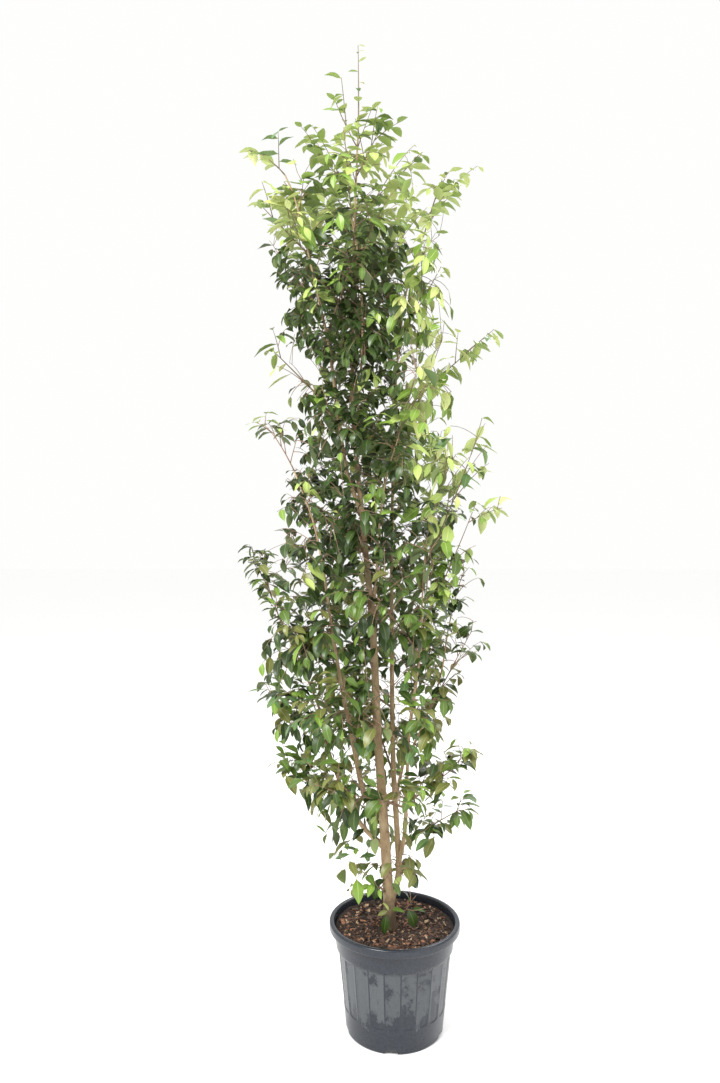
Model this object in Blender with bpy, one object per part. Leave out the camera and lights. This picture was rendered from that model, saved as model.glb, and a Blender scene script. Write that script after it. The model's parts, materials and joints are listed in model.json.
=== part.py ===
"""Potted sycoparrotia: a tall, narrow shrub of several stems in a fluted nursery pot.

Metres, +Z up. The origin is the centre of the pot's flat underside, and -Y is the front.
Each stem is one tapering limb, and each mass of leaves is a twig that branches by a seeded rule.
"""

import math
import random

import bmesh
import bpy
from mathutils import Vector
from mathutils.bvhtree import BVHTree
from mathutils.kdtree import KDTree

# Clearance between neighbouring solids
GAP = 0.0003

# Pot: a tapering shell, fluted between a plain foot and a wider plain band, under a rolled lip
RIM_RADIUS = 0.203
POT_HEIGHT = 0.332
BASE_RADIUS = 0.150
STEP_RADIUS = 0.1765
STEP_HEIGHT = 0.252
BAND_STEP = 0.005
BAND_FLARE = 0.006
WALL = 0.005
FLOOR = 0.014
LIP_HEIGHT = 0.025
LIP_WIDTH = 0.015
LIP_ROUND = 0.005
EDGE_ROUND = 0.002
FOOT_BAND = 0.072
FLUTES = 22
FLUTE_DEPTH = 0.004
FLUTE_END = 0.008
FLUTE_PHASE = math.radians(4.0)
NOTCHES = 5
NOTCH_PHASE = math.radians(-96.0)
NOTCH_WIDTH = 0.040
NOTCH_HEIGHT = 0.008
NOTCH_DEPTH = 0.030

# Soil
SOIL_LEVEL = 0.300

# Limbs: how fast a limb thins, how the trunk's foot flares, and the spacing of the rings
TAPER = 1.3
FLARE_SHARE = 0.30
FLARE_REACH = 0.035
FLARE_RINGS = (0.0, 0.10, 0.30)
RING_SPACING = 0.13
CURVE_STEPS = 16

# name: parent, height of its foot, foot and tip radius, sides, and the places it passes
LIMBS = {
    "trunk": (None, SOIL_LEVEL, 0.0175, 0.0026, 9, (
        (-0.012, 0.000, SOIL_LEVEL), (-0.031, 0.000, 0.60), (-0.054, 0.010, 0.94),
        (-0.067, 0.015, 1.23), (-0.104, 0.020, 1.62), (-0.129, 0.010, 1.91),
        (-0.130, 0.000, 2.30), (-0.120, 0.000, 2.62), (-0.112, -0.005, 2.82))),
    "right_stem": ("trunk", 0.375, 0.0100, 0.0022, 7, (
        (0.013, 0.012, 0.46), (0.010, 0.024, 0.58), (-0.002, 0.050, 0.82),
        (-0.005, 0.070, 1.15), (-0.004, 0.080, 1.60), (0.008, 0.074, 2.02),
        (0.040, 0.050, 2.30), (0.096, 0.030, 2.48))),
    "left_bough": ("trunk", 0.640, 0.0095, 0.0024, 7, (
        (-0.092, -0.016, 0.72), (-0.130, -0.056, 0.90), (-0.177, -0.090, 1.15),
        (-0.235, -0.110, 1.52), (-0.305, -0.092, 1.72))),
    "far_left_bough": ("trunk", 0.550, 0.0080, 0.0024, 6, (
        (-0.100, 0.026, 0.61), (-0.150, 0.052, 0.69), (-0.205, 0.084, 0.82),
        (-0.245, 0.100, 0.98), (-0.370, 0.104, 1.26))),
    "left_leader": ("trunk", 1.600, 0.0075, 0.0024, 6, (
        (-0.152, -0.022, 1.74), (-0.199, -0.060, 2.08), (-0.246, -0.080, 2.30),
        (-0.300, -0.080, 2.53), (-0.335, -0.072, 2.62))),
    "right_bough": ("right_stem", 0.490, 0.0070, 0.0022, 6, (
        (0.032, -0.004, 0.60), (0.036, -0.046, 0.77), (0.044, -0.080, 0.96),
        (0.072, -0.118, 1.18), (0.078, -0.130, 1.36), (0.090, -0.126, 1.52))),
    "far_right_bough": ("right_bough", 0.850, 0.0040, 0.0020, 6, (
        (0.086, -0.052, 0.95), (0.140, -0.016, 1.08), (0.170, 0.020, 1.23))),
    "back_bough": ("trunk", 0.780, 0.0075, 0.0022, 6, (
        (-0.056, 0.060, 0.89), (-0.064, 0.132, 1.10), (-0.040, 0.180, 1.40),
        (-0.024, 0.200, 1.68))),
    "back_right_bough": ("right_stem", 0.690, 0.0060, 0.0022, 6, (
        (0.034, 0.092, 0.80), (0.074, 0.150, 1.00), (0.104, 0.188, 1.22),
        (0.122, 0.200, 1.40))),
    "front_bough": ("trunk", 1.280, 0.0055, 0.0020, 6, (
        (-0.058, -0.040, 1.38), (-0.052, -0.090, 1.52), (-0.031, -0.130, 1.69),
        (0.004, -0.150, 1.81))),
    "upper_back_bough": ("trunk", 1.740, 0.0050, 0.0020, 6, (
        (-0.122, 0.066, 1.85), (-0.130, 0.128, 2.05), (-0.112, 0.150, 2.28),
        (-0.120, 0.142, 2.44))),
    "upper_front_bough": ("trunk", 1.900, 0.0050, 0.0020, 6, (
        (-0.108, -0.050, 1.99), (-0.100, -0.108, 2.15), (-0.112, -0.132, 2.34),
        (-0.132, -0.132, 2.46))),
}

# Leafy shoots that carry on from the end of a limb, and how far each one's leaves reach
LEADING_SHOOTS = {
    "trunk": (-0.114, -0.006, 3.120),
    "right_stem": (0.176, 0.002, 2.715),
    "left_bough": (-0.433, -0.070, 1.915),
    "far_left_bough": (-0.475, 0.098, 1.500),
    "left_leader": (-0.498, -0.052, 2.740),
    "right_bough": (0.200, -0.112, 1.830),
    "far_right_bough": (0.243, 0.056, 1.480),
    "back_bough": (-0.030, 0.300, 1.980),
    "back_right_bough": (0.190, 0.290, 1.690),
    "front_bough": (0.080, -0.220, 2.060),
    "upper_back_bough": (-0.150, 0.230, 2.740),
    "upper_front_bough": (-0.160, -0.220, 2.760),
}

# Leafy shoots that stand out of the crown: limb, height of the foot, and how far the leaves reach
REACHING_SHOOTS = {
    "top_left": ("trunk", 2.740, (-0.215, -0.014, 2.947)),
    "crown_left": ("trunk", 2.600, (-0.325, 0.024, 2.810)),
    "crown_right": ("trunk", 2.520, (0.133, 0.030, 2.775)),
    "crown_middle": ("trunk", 2.650, (-0.017, -0.070, 2.825)),
    "shoulder_left": ("left_leader", 2.380, (-0.464, -0.060, 2.590)),
    "shoulder_right": ("right_stem", 2.160, (0.175, -0.050, 2.410)),
    "long_right": ("right_stem", 1.900, (0.361, -0.004, 2.216)),
    "high_left": ("left_leader", 1.900, (-0.426, -0.084, 2.140)),
    "middle_right": ("right_bough", 1.440, (0.289, -0.050, 1.945)),
    "waist_right": ("right_bough", 1.260, (0.274, -0.050, 1.690)),
    "waist_left": ("left_bough", 1.120, (-0.404, -0.140, 1.330)),
    "low_left": ("far_left_bough", 0.860, (-0.436, 0.050, 1.045)),
    "foot_left": ("far_left_bough", 0.680, (-0.395, -0.020, 0.810)),
    "middle_low_right": ("far_right_bough", 0.985, (0.262, -0.060, 1.290)),
    "low_right": ("right_bough", 0.700, (0.267, -0.070, 0.880)),
    "foot_right": ("right_bough", 0.560, (0.261, 0.010, 0.700)),
    "foot_front": ("trunk", 0.420, (-0.130, -0.130, 0.560)),
}

# Half-width of the crown and where its middle is, by height
CROWN = (
    (0.32, -0.03, 0.13), (0.46, -0.03, 0.15), (0.60, -0.04, 0.21), (0.78, -0.07, 0.31),
    (1.05, -0.10, 0.32), (1.48, -0.09, 0.33), (1.75, -0.06, 0.31), (2.00, -0.06, 0.29),
    (2.25, -0.09, 0.28), (2.50, -0.12, 0.29), (2.70, -0.14, 0.26), (2.82, -0.14, 0.18),
    (2.95, -0.12, 0.09), (3.12, -0.11, 0.03),
)

# The furthest leaf tips, and how wide a shoot is where it stands out of the crown
CROWN_LEFT = -0.504
CROWN_RIGHT = 0.362
OUTSIDE_REACH = 0.115

# Leafy shoots that fill the crown between those, evenly on all sides
FILLING_SHOOTS = 17
FILLING_SPAN = (0.56, 2.40)
FILLING_STEP = 0.07
FILLING_TURNS = 12
FILLING_RISE = (0.12, 0.22)
SHORTEST_SHOOT = 0.16
LONGEST_SHOOT = 0.46
STEM_CLEARANCE = 0.012
OWN_LIMB_REACH = 0.06

# Stem of a shoot: it arches up and out, and is thinner than the limb that bears it
ARCH = 0.12
SPREAD = 0.10
ARCH_STEPS = 24
LAST_LEAF = 0.066
STEM_SPACING = 0.075
STEM_RADIUS = 0.0040
STEM_TIP_RADIUS = 0.0024
STEM_SHARE_OF_TIP = 0.95
STEM_SHARE_OF_SIDE = 0.75

# How a stem's flat foot is set down on its limb
START_OFF = 0.0015
SETTLING_STEPS = 4
RIM_PROBES = (0.0, 0.25, 0.5, 0.75)
INNER_PROBES = (0.0, 0.3, 0.6, 1.0)

# Twigs: they stand on the stem by turns, forward and aside, with some stray
TWIG_SIDES = 3
TWIG_RADIUS = 0.0019
TWIG_ROOT_RADIUS = 0.0011
TWIG_LENGTH = (0.09, 0.20)
TWIG_SPACING = 0.05
TWIG_FORWARD = 0.6
TWIG_ASIDE = 0.85
TWIG_STRAY = 0.45
BARE_FOOT = 0.035
BARE_END = 0.020
NODE_SPACING = 0.033
NODE_TURN = 0.3
GOLDEN_ANGLE = math.radians(137.5)

# Leaves: fewer than the plant has, so they are larger than the real ones
LEAF_LENGTH = (0.095, 0.128)
LEAF_WIDTH_SHARE = 0.43
LEAF_WAIST = 0.44
LEAF_ARCH = 0.06
LEAF_DROOP = 0.10
LEAF_THICKNESS = 0.0030
LEAF_FORWARD = 0.45
LEAF_ASIDE = 0.65
LEAF_HANG = (0.3, 0.9)
LEAF_LIFT = 0.8
LEAF_STRAY = 0.3
LEAF_SINK = 0.015
LEAVES_PER_MASS = 13

# Room that a leaf must find free, and how often one is tried
ROOM_START = 0.006
ROOM_SWELL = 0.0012
LIMB_MARGIN = 0.0020
TRIES = 12
AXIS_STEPS = (0.0, 0.25, 0.5, 0.75)

# Colours
POT_COLOUR = (0.075, 0.085, 0.095)
SOIL_COLOUR = (0.05, 0.028, 0.02)
BARK_COLOUR = (0.30, 0.20, 0.13)
LOW_GREEN = 0.06
GREEN_RISE = 0.05

SEED = 7


def make_material(name, colour, roughness):
    material = bpy.data.materials.new(name)
    material.use_nodes = True
    shader = material.node_tree.nodes["Principled BSDF"]
    shader.inputs["Base Color"].default_value = (*colour, 1.0)
    shader.inputs["Roughness"].default_value = roughness
    shader.inputs["Metallic"].default_value = 0.0
    return material


def add_object(name, verts, faces, material=None, smooth=False):
    mesh = bpy.data.meshes.new(name)
    mesh.from_pydata([tuple(v) for v in verts], [], faces)
    mesh.update()
    if smooth:
        mesh.shade_smooth()
        mesh.set_sharp_from_angle(angle=math.radians(40))
    obj = bpy.data.objects.new(name, mesh)
    bpy.context.scene.collection.objects.link(obj)
    if material:
        mesh.materials.append(material)
    return obj


def cut_with(obj, cutter):
    """Takes the cutter's shape out of the object, and keeps the cutter as a helper."""
    cutter.hide_render = True
    cutter.display_type = "WIRE"
    modifier = obj.modifiers.new("cut", "BOOLEAN")
    modifier.operation = "DIFFERENCE"
    modifier.object = cutter


# Pot and soil


def wall_radius(z):
    """Outer radius of the tapering body at this height, on the ridges of its flutes."""
    return BASE_RADIUS + (STEP_RADIUS - BASE_RADIUS) * z / STEP_HEIGHT


def inner_radius(z):
    """Radius of the body's inside, clear of the flutes."""
    return wall_radius(z) - WALL - FLUTE_DEPTH


def turned_shell(rings):
    """A closed shell through rings of (height, radius, share of the flute's depth)."""
    segments = 2 * FLUTES
    verts = []
    for z, radius, share in rings:
        for i in range(segments):
            angle = FLUTE_PHASE - math.pi / 2 + i * math.tau / segments
            r = radius - (share * FLUTE_DEPTH if i % 2 else 0.0)
            verts.append((r * math.cos(angle), r * math.sin(angle), z))
    faces = [tuple(reversed(range(segments)))]
    for k in range(len(rings) - 1):
        for i in range(segments):
            j = (i + 1) % segments
            low, high = k * segments, (k + 1) * segments
            faces.append((low + i, low + j, high + j, high + i))
    top = (len(rings) - 1) * segments
    faces.append(tuple(range(top, top + segments)))
    return verts, faces


def make_pot(material):
    band = STEP_RADIUS + BAND_STEP
    under_lip = POT_HEIGHT - LIP_HEIGHT
    inner = RIM_RADIUS - LIP_WIDTH
    low = FOOT_BAND + 2 * FLUTE_END
    high = STEP_HEIGHT - FLUTE_END
    rings = [
        (0.0, BASE_RADIUS - EDGE_ROUND, 0.0),
        (2 * EDGE_ROUND, BASE_RADIUS, 0.0),
        (FOOT_BAND, wall_radius(FOOT_BAND), 0.0),
        (low, wall_radius(low), 1.0),
        (high, wall_radius(high), 1.0),
        (STEP_HEIGHT, band, 0.0),
        (under_lip, band + BAND_FLARE, 0.0),
        (under_lip + 0.5 * EDGE_ROUND, RIM_RADIUS - EDGE_ROUND, 0.0),
        (POT_HEIGHT - LIP_ROUND, RIM_RADIUS, 0.0),
        (POT_HEIGHT, RIM_RADIUS - LIP_ROUND, 0.0),
        (POT_HEIGHT - 0.5 * EDGE_ROUND, inner + EDGE_ROUND, 0.0),
        (POT_HEIGHT - 2 * LIP_ROUND, inner, 0.0),
        (STEP_HEIGHT, inner_radius(STEP_HEIGHT), 0.0),
        (FLOOR, inner_radius(0.0), 0.0),
    ]
    pot = add_object("pot", *turned_shell(rings), material, smooth=True)
    for i in range(NOTCHES):
        angle = NOTCH_PHASE + i * math.tau / NOTCHES
        bpy.ops.mesh.primitive_cube_add(size=1.0)
        cutter = bpy.context.object
        cutter.name = f"notch_cutter_{i + 1}"
        cutter.scale = (2 * NOTCH_DEPTH, NOTCH_WIDTH, 2 * NOTCH_HEIGHT)
        cutter.location = (BASE_RADIUS * math.cos(angle), BASE_RADIUS * math.sin(angle), 0.0)
        cutter.rotation_euler.z = angle
        cut_with(pot, cutter)
    return pot


def make_soil(material):
    at_step = inner_radius(STEP_HEIGHT)
    at_lip = RIM_RADIUS - LIP_WIDTH
    share = (SOIL_LEVEL - STEP_HEIGHT) / (POT_HEIGHT - 2 * LIP_ROUND - STEP_HEIGHT)
    rings = [
        (FLOOR + GAP, inner_radius(0.0) - GAP, 0.0),
        (STEP_HEIGHT, at_step - GAP, 0.0),
        (SOIL_LEVEL, at_step + (at_lip - at_step) * share - GAP, 0.0),
    ]
    return add_object("soil", *turned_shell(rings), material)


# Curves and tubes


def curve_through(places, spacing):
    """Evenly spaced points on a smooth curve through the places."""
    points = [Vector(p) for p in places]
    ends = [2 * points[0] - points[1], *points, 2 * points[-1] - points[-2]]
    fine = [points[0]]
    for a, b, c, d in zip(ends, ends[1:], ends[2:], ends[3:]):
        for k in range(CURVE_STEPS):
            t = (k + 1) / CURVE_STEPS
            fine.append(0.5 * (2 * b + (c - a) * t + (2 * a - 5 * b + 4 * c - d) * t * t
                               + (3 * b - a - 3 * c + d) * t ** 3))
    return resample(fine, spacing)


def arch_between(foot, tip, outward, spacing):
    """Evenly spaced points on an arch that springs up and outward from the foot to the tip."""
    spring = Vector((0, 0, ARCH)) + outward * SPREAD
    middle = foot.lerp(tip, 0.5) + spring * (tip - foot).length
    fine = [foot * (1 - t) ** 2 + middle * 2 * t * (1 - t) + tip * t * t
            for t in (k / ARCH_STEPS for k in range(ARCH_STEPS + 1))]
    return resample(fine, spacing)


def resample(fine, spacing):
    lengths = [0.0]
    for a, b in zip(fine, fine[1:]):
        lengths.append(lengths[-1] + (b - a).length)
    count = max(2, round(lengths[-1] / spacing))
    points = []
    k = 0
    for i in range(count + 1):
        wanted = lengths[-1] * i / count
        while k < len(fine) - 2 and lengths[k + 1] < wanted:
            k += 1
        share = (wanted - lengths[k]) / (lengths[k + 1] - lengths[k])
        points.append(fine[k].lerp(fine[k + 1], min(1.0, share)))
    return points


def directions(points):
    """The heading of a path at each of its points."""
    last = len(points) - 1
    return [(points[min(i + 1, last)] - points[max(i - 1, 0)]).normalized()
            for i in range(last + 1)]


def tube(points, radii, sides, pointed=False):
    """A closed tube of flat-sided rings along the points, which may end in a point."""
    verts = []
    across = Vector((0, -1, 0))
    for point, heading, radius in zip(points, directions(points), radii):
        across = (across - heading * across.dot(heading)).normalized()
        other = heading.cross(across)
        for i in range(sides):
            angle = i * math.tau / sides
            verts.append(point + radius * (math.cos(angle) * across + math.sin(angle) * other))
    faces = [tuple(reversed(range(sides)))]
    for k in range(len(points) - 1):
        for i in range(sides):
            j = (i + 1) % sides
            faces.append((k * sides + i, k * sides + j, (k + 1) * sides + j, (k + 1) * sides + i))
    top = (len(points) - 1) * sides
    if not pointed:
        faces.append(tuple(range(top, top + sides)))
        return verts, faces
    verts[top:] = [points[-1]]
    faces[-sides:] = [(top - sides + i, top - sides + (i + 1) % sides, top) for i in range(sides)]
    return verts, faces


# Limbs


class Limb:
    """One tapering stem or bough, from its parent's middle or the soil to its tip."""

    def __init__(self, name, limbs):
        parent, height, self.foot_radius, self.tip_radius, self.sides, places = LIMBS[name]
        self.name = name
        self.parent = limbs.get(parent)
        if self.parent:
            places = (self.parent.at_height(height)[0], *places)
        self.points = curve_through(places, RING_SPACING)
        self.radii = [self.radius_at(i / (len(self.points) - 1)) for i in range(len(self.points))]

    def radius_at(self, share):
        return self.tip_radius + (self.foot_radius - self.tip_radius) * (1 - share) ** TAPER

    def at_height(self, height):
        """The place, radius and heading where the limb passes this height."""
        headings = directions(self.points)
        for i, (a, b) in enumerate(zip(self.points, self.points[1:])):
            if a.z <= height <= b.z:
                share = (height - a.z) / (b.z - a.z)
                radius = self.radii[i] + (self.radii[i + 1] - self.radii[i]) * share
                return a.lerp(b, share), radius, headings[i].lerp(headings[i + 1], share)
        raise ValueError(f"{self.name} doesn't reach {height}")

    def shape(self, swell=0.0):
        """The limb's tube, with the root flare where it stands in the soil."""
        points = list(self.points)
        radii = [r + swell for r in self.radii]
        if not self.parent:
            foot = points[0] + Vector((0, 0, GAP))
            flared = [foot.lerp(points[1], share) for share in FLARE_RINGS]
            swells = [1 + FLARE_SHARE * math.exp(-(p - foot).length / FLARE_REACH) for p in flared]
            points[:1] = flared
            radii[:1] = [radii[0] * s for s in swells]
        verts, faces = tube(points, radii, self.sides)
        if not self.parent:
            for v in verts[:self.sides]:
                v.z = points[0].z
        return verts, faces


def make_limbs():
    """Each limb as an object, its foot cut to sit against its parent."""
    limbs = {}
    for name in LIMBS:
        limb = Limb(name, limbs)
        limbs[name] = limb
        bark = make_material(f"bark of {name}", BARK_COLOUR, 0.85)
        obj = add_object(name, *limb.shape(), bark, smooth=True)
        if limb.parent:
            cutter = add_object(f"{name}_seat", *limb.parent.shape(swell=GAP))
            cut_with(obj, cutter)
    return limbs


# Leafy shoots


class Shoot:
    """The stem of one mass: where it leaves its limb, and the arch to its tip."""

    def __init__(self, name, limb, tip, height=None):
        self.name = name
        self.limb = limb
        self.leading = height is None
        if self.leading:
            self.outward = directions(limb.points)[-1]
            self.foot = limb.points[-1] + self.outward * GAP
            self.radius = min(STEM_RADIUS, STEM_SHARE_OF_TIP * limb.tip_radius)
        else:
            axis, girth, heading = limb.at_height(height)
            away = Vector(tip) - axis
            self.outward = (away - heading * away.dot(heading)).normalized()
            self.foot = axis + self.outward * (girth + GAP)
            self.radius = min(STEM_RADIUS, STEM_SHARE_OF_SIDE * girth)
        reach = Vector(tip) - self.foot
        self.reach = reach.length
        self.course = reach.normalized()
        self.tip = Vector(tip) - self.course * LAST_LEAF
        self.points = arch_between(self.foot, self.tip, self.outward, STEM_SPACING)

    def shape(self, fixed):
        """The stem's tube, its foot cut flat and set down on the limb."""
        radii = thinning(self.points, self.radius, STEM_TIP_RADIUS)
        verts, faces = tube(self.points, radii, TWIG_SIDES, pointed=True)
        heading = directions(self.points)[0]
        for i in range(TWIG_SIDES):
            high = (verts[i] - self.foot).dot(self.outward) / heading.dot(self.outward)
            verts[i] = verts[i] - heading * high
        if self.leading:
            return verts, faces
        foot = [v + self.outward * START_OFF for v in verts[:TWIG_SIDES]]
        for _ in range(SETTLING_STEPS):
            edges = zip(foot, foot[1:] + foot[:1])
            rim = [a.lerp(b, share) for a, b in edges for share in RIM_PROBES]
            centre = sum(foot, Vector()) / TWIG_SIDES
            probes = [centre.lerp(v, share) for v in rim for share in INNER_PROBES]
            nearest = min(fixed.find_nearest(v)[3] for v in probes)
            foot = [v - self.outward * (nearest - GAP) for v in foot]
        return foot + verts[TWIG_SIDES:], faces

    def reaches(self, place):
        """Whether a place is no further out than this shoot's leaves go."""
        along = (place - self.foot).dot(self.course)
        if along > self.reach:
            return False
        middle, width = crown_at(place.z)
        if math.hypot(place.x - middle, place.y) < width:
            return True
        near = self.foot + self.course * max(0.0, along)
        return (place - near).length < OUTSIDE_REACH and CROWN_LEFT < place.x < CROWN_RIGHT

    def spread(self):
        """Places along the leafy part of the stem."""
        last = len(self.points) - 1
        return [self.points[round(last * share)] for share in (0.5, 1.0)]


def crown_at(height):
    """Where the crown's middle is at this height, and its half-width."""
    for (z0, x0, w0), (z1, x1, w1) in zip(CROWN, CROWN[1:]):
        if z0 <= height <= z1:
            share = (height - z0) / (z1 - z0)
            return x0 + (x1 - x0) * share, w0 + (w1 - w0) * share
    return CROWN[-1][1], 0.0


def path_clear(shoot, limbs):
    """Whether a shoot's stem keeps away from every limb, past its foot."""
    course = zip(shoot.points, shoot.points[1:])
    for point in [a.lerp(b, share) for a, b in course for share in AXIS_STEPS] + shoot.points[-1:]:
        for limb in limbs.values():
            if limb is shoot.limb and (point - shoot.foot).length < OWN_LIMB_REACH:
                continue
            for a, b, radius in zip(limb.points, limb.points[1:], limb.radii):
                run = b - a
                share = max(0.0, min(1.0, (point - a).dot(run) / run.length_squared))
                if (a + run * share - point).length < radius + STEM_CLEARANCE:
                    return False
    return True


def filling_candidates(limbs):
    """Every shoot that could leave a limb towards the crown's outside."""
    found = []
    for limb in limbs.values():
        height = max(FILLING_SPAN[0], limb.points[1].z)
        while height < min(FILLING_SPAN[1], limb.points[-1].z):
            axis = limb.at_height(height)[0]
            for turn in range(FILLING_TURNS):
                angle = turn * math.tau / FILLING_TURNS
                rise = FILLING_RISE[turn % 2]
                middle, width = crown_at(height + rise)
                tip = (middle + width * math.cos(angle), width * math.sin(angle), height + rise)
                length = (Vector(tip) - axis).length
                if SHORTEST_SHOOT < length < LONGEST_SHOOT:
                    found.append((limb, height, tip))
            height += FILLING_STEP
    return found


def gap_to(place, taken):
    return min((place - other).length for other in taken)


def make_shoots(limbs):
    """The stems of all masses: the named ones, then those that fill the widest gaps."""
    shoots = [Shoot(f"{name}_tip_leaves", limbs[name], tip) for name, tip in LEADING_SHOOTS.items()]
    for name, (limb, height, tip) in REACHING_SHOOTS.items():
        shoots.append(Shoot(f"{name}_leaves", limbs[limb], tip, height))
    spare = [Shoot("", limb, tip, height) for limb, height, tip in filling_candidates(limbs)]
    spare = [shoot for shoot in spare if path_clear(shoot, limbs)]
    taken = [place for shoot in shoots for place in shoot.spread()]
    for number in range(FILLING_SHOOTS):
        best = max(spare, key=lambda s: min(gap_to(place, taken) for place in s.spread()))
        spare.remove(best)
        taken += best.spread()
        best.name = f"inner_leaves_{number + 1:02d}"
        shoots.append(best)
    return shoots


# Leaves and twigs


def leaf_shape(root, along, up, length, swell=0.0):
    """A drooping lens of six faces: root, two sides, tip, and a crest over the line of the sides."""
    face = (up - along * up.dot(along)).normalized()
    side = along.cross(face)
    waist = root + along * (LEAF_WAIST * length) + face * (LEAF_ARCH * length - swell)
    half = side * (0.5 * LEAF_WIDTH_SHARE * length + swell)
    crest = waist + face * (LEAF_THICKNESS + 2 * swell)
    tip = root + along * (length + swell) - face * (LEAF_DROOP * length)
    verts = [root, waist + half, waist - half, tip, crest]
    faces = [(0, 1, 4), (1, 3, 4), (3, 2, 4), (2, 0, 4), (1, 0, 2), (3, 1, 2)]
    return verts, faces


def thinning(points, foot_radius, tip_radius):
    last = len(points) - 1
    return [foot_radius + (tip_radius - foot_radius) * i / last for i in range(last + 1)]


class Space:
    """The room each mass keeps to: nearest its own stem, and clear of all that stands there."""

    def __init__(self, shoots, fixed):
        self.shoots = shoots
        self.fixed = fixed
        self.grown = {}
        self.axes = KDTree(sum(len(s.points) * len(AXIS_STEPS) for s in shoots))
        self.owners = []
        for number, shoot in enumerate(shoots):
            for a, b in zip(shoot.points, shoot.points[1:]):
                for share in AXIS_STEPS:
                    self.insert(a.lerp(b, share), number)
            self.insert(shoot.tip, number)
        self.axes.balance()
        for number, shoot in enumerate(shoots):
            shoot.solid = shoot.shape(fixed)
            self.keep(*shoot.solid, number, "stem")

    def insert(self, place, number):
        self.axes.insert(place, len(self.owners))
        self.owners.append(number)

    def fits(self, verts, faces, number):
        for v in verts:
            if not self.shoots[number].reaches(v):
                return False
            if self.owners[self.axes.find(v)[1]] != number:
                return False
            if self.fixed.find_nearest(v, LIMB_MARGIN)[0]:
                return False
        tree = BVHTree.FromPolygons(verts, faces)
        if tree.overlap(self.fixed):
            return False
        return not any(
            tree.overlap(other)
            for owner, trees in self.grown.items()
            for kind, other in trees
            if owner != number or kind == "leaf"
        )

    def keep(self, verts, faces, number, kind):
        tree = BVHTree.FromPolygons(verts, faces)
        self.grown.setdefault(number, []).append((kind, tree))


def leaf_heading(heading, side, turn, draw):
    """A leaf points forward and to one side of its twig, and hangs."""
    aside = side_of(heading, side, turn)
    hang = Vector((0, 0, -draw.uniform(*LEAF_HANG)))
    stray = Vector([draw.uniform(-LEAF_STRAY, LEAF_STRAY) for _ in range(3)])
    return (LEAF_FORWARD * heading + LEAF_ASIDE * aside + hang + stray).normalized()


def side_of(heading, side, turn):
    """The level direction to this side of a heading, turned a little round it at each node."""
    across = heading.cross(Vector((0, 0, 1))) * side
    around = Vector((math.cos(turn * GOLDEN_ANGLE), math.sin(turn * GOLDEN_ANGLE), 0))
    return (across + NODE_TURN * around).normalized()


def leaf_up(place, draw):
    """The face of a leaf looks up and out of the crown."""
    outward = Vector((place.x - crown_at(place.z)[0], place.y, 0)).normalized()
    stray = Vector([draw.uniform(-LEAF_STRAY, LEAF_STRAY) for _ in range(3)])
    return outward + Vector((0, 0, LEAF_LIFT)) + stray


def try_leaf(place, heading, side, turn, number, space, draw):
    """A leaf that fits at this place, or None after a few headings."""
    for attempt in range(TRIES):
        along = leaf_heading(heading, side, turn + attempt, draw)
        up = leaf_up(place, draw)
        length = draw.uniform(*LEAF_LENGTH)
        room = leaf_shape(place + along * ROOM_START, along, up, length, swell=ROOM_SWELL)
        if space.fits(*room, number):
            shape = leaf_shape(place, along, up, length)
            space.keep(*room, number, "leaf")
            return shape
    return None


def twig_path(place, heading, side, turn, draw):
    lean = Vector([draw.uniform(-TWIG_STRAY, TWIG_STRAY) for _ in range(3)])
    aside = side_of(heading, side, turn)
    along = (TWIG_FORWARD * heading + TWIG_ASIDE * aside + lean).normalized()
    length = draw.uniform(*TWIG_LENGTH)
    return arch_between(place, place + along * length, along, TWIG_SPACING)


def leaf_stations(points, first):
    """Even places for leaves along a path, short of its thin end, with the headings there."""
    headings = directions(points)
    last = sum((b - a).length for a, b in zip(points, points[1:])) - BARE_END
    found = []
    walked = 0.0
    wanted = first
    for i, (a, b) in enumerate(zip(points, points[1:])):
        step = (b - a).length
        while wanted <= min(walked + step, last):
            share = (wanted - walked) / step
            found.append((a.lerp(b, share), headings[i].lerp(headings[i + 1], share).normalized()))
            wanted += NODE_SPACING
        walked += step
    return found


def grow_mass(shoot, number, space):
    """The solids of one mass: its stem, the twigs that fit, and the leaves that fit on them."""
    draw = random.Random(SEED * 1000 + number)
    pieces = [shoot.solid]
    carriers = [(shoot.points, BARE_FOOT)]
    side = 1
    for turn, (place, heading) in enumerate(leaf_stations(shoot.points, BARE_FOOT)[::2]):
        side = -side
        for attempt in range(TRIES):
            path = twig_path(place, heading, side, turn + attempt, draw)
            radii = [TWIG_ROOT_RADIUS] + [TWIG_RADIUS] * (len(path) - 1)
            twig = tube(path, radii, TWIG_SIDES, pointed=True)
            if space.fits(*twig, number):
                pieces.append(twig)
                space.keep(*twig, number, "twig")
                carriers.append((path, NODE_SPACING))
                break
    leaves = []
    for points, first in carriers:
        heading = directions(points)[-1]
        place = points[-1] - heading * LEAF_SINK
        end = try_leaf(place, heading, 0.0, len(leaves), number, space, draw)
        if end:
            leaves.append(end)
    stations = [s for points, first in carriers for s in leaf_stations(points, first)]
    draw.shuffle(stations)
    for turn, (place, heading) in enumerate(stations):
        if len(leaves) >= LEAVES_PER_MASS:
            break
        side = -side
        leaf = try_leaf(place, heading, side, turn, number, space, draw)
        if leaf:
            leaves.append(leaf)
    return pieces + leaves


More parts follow.
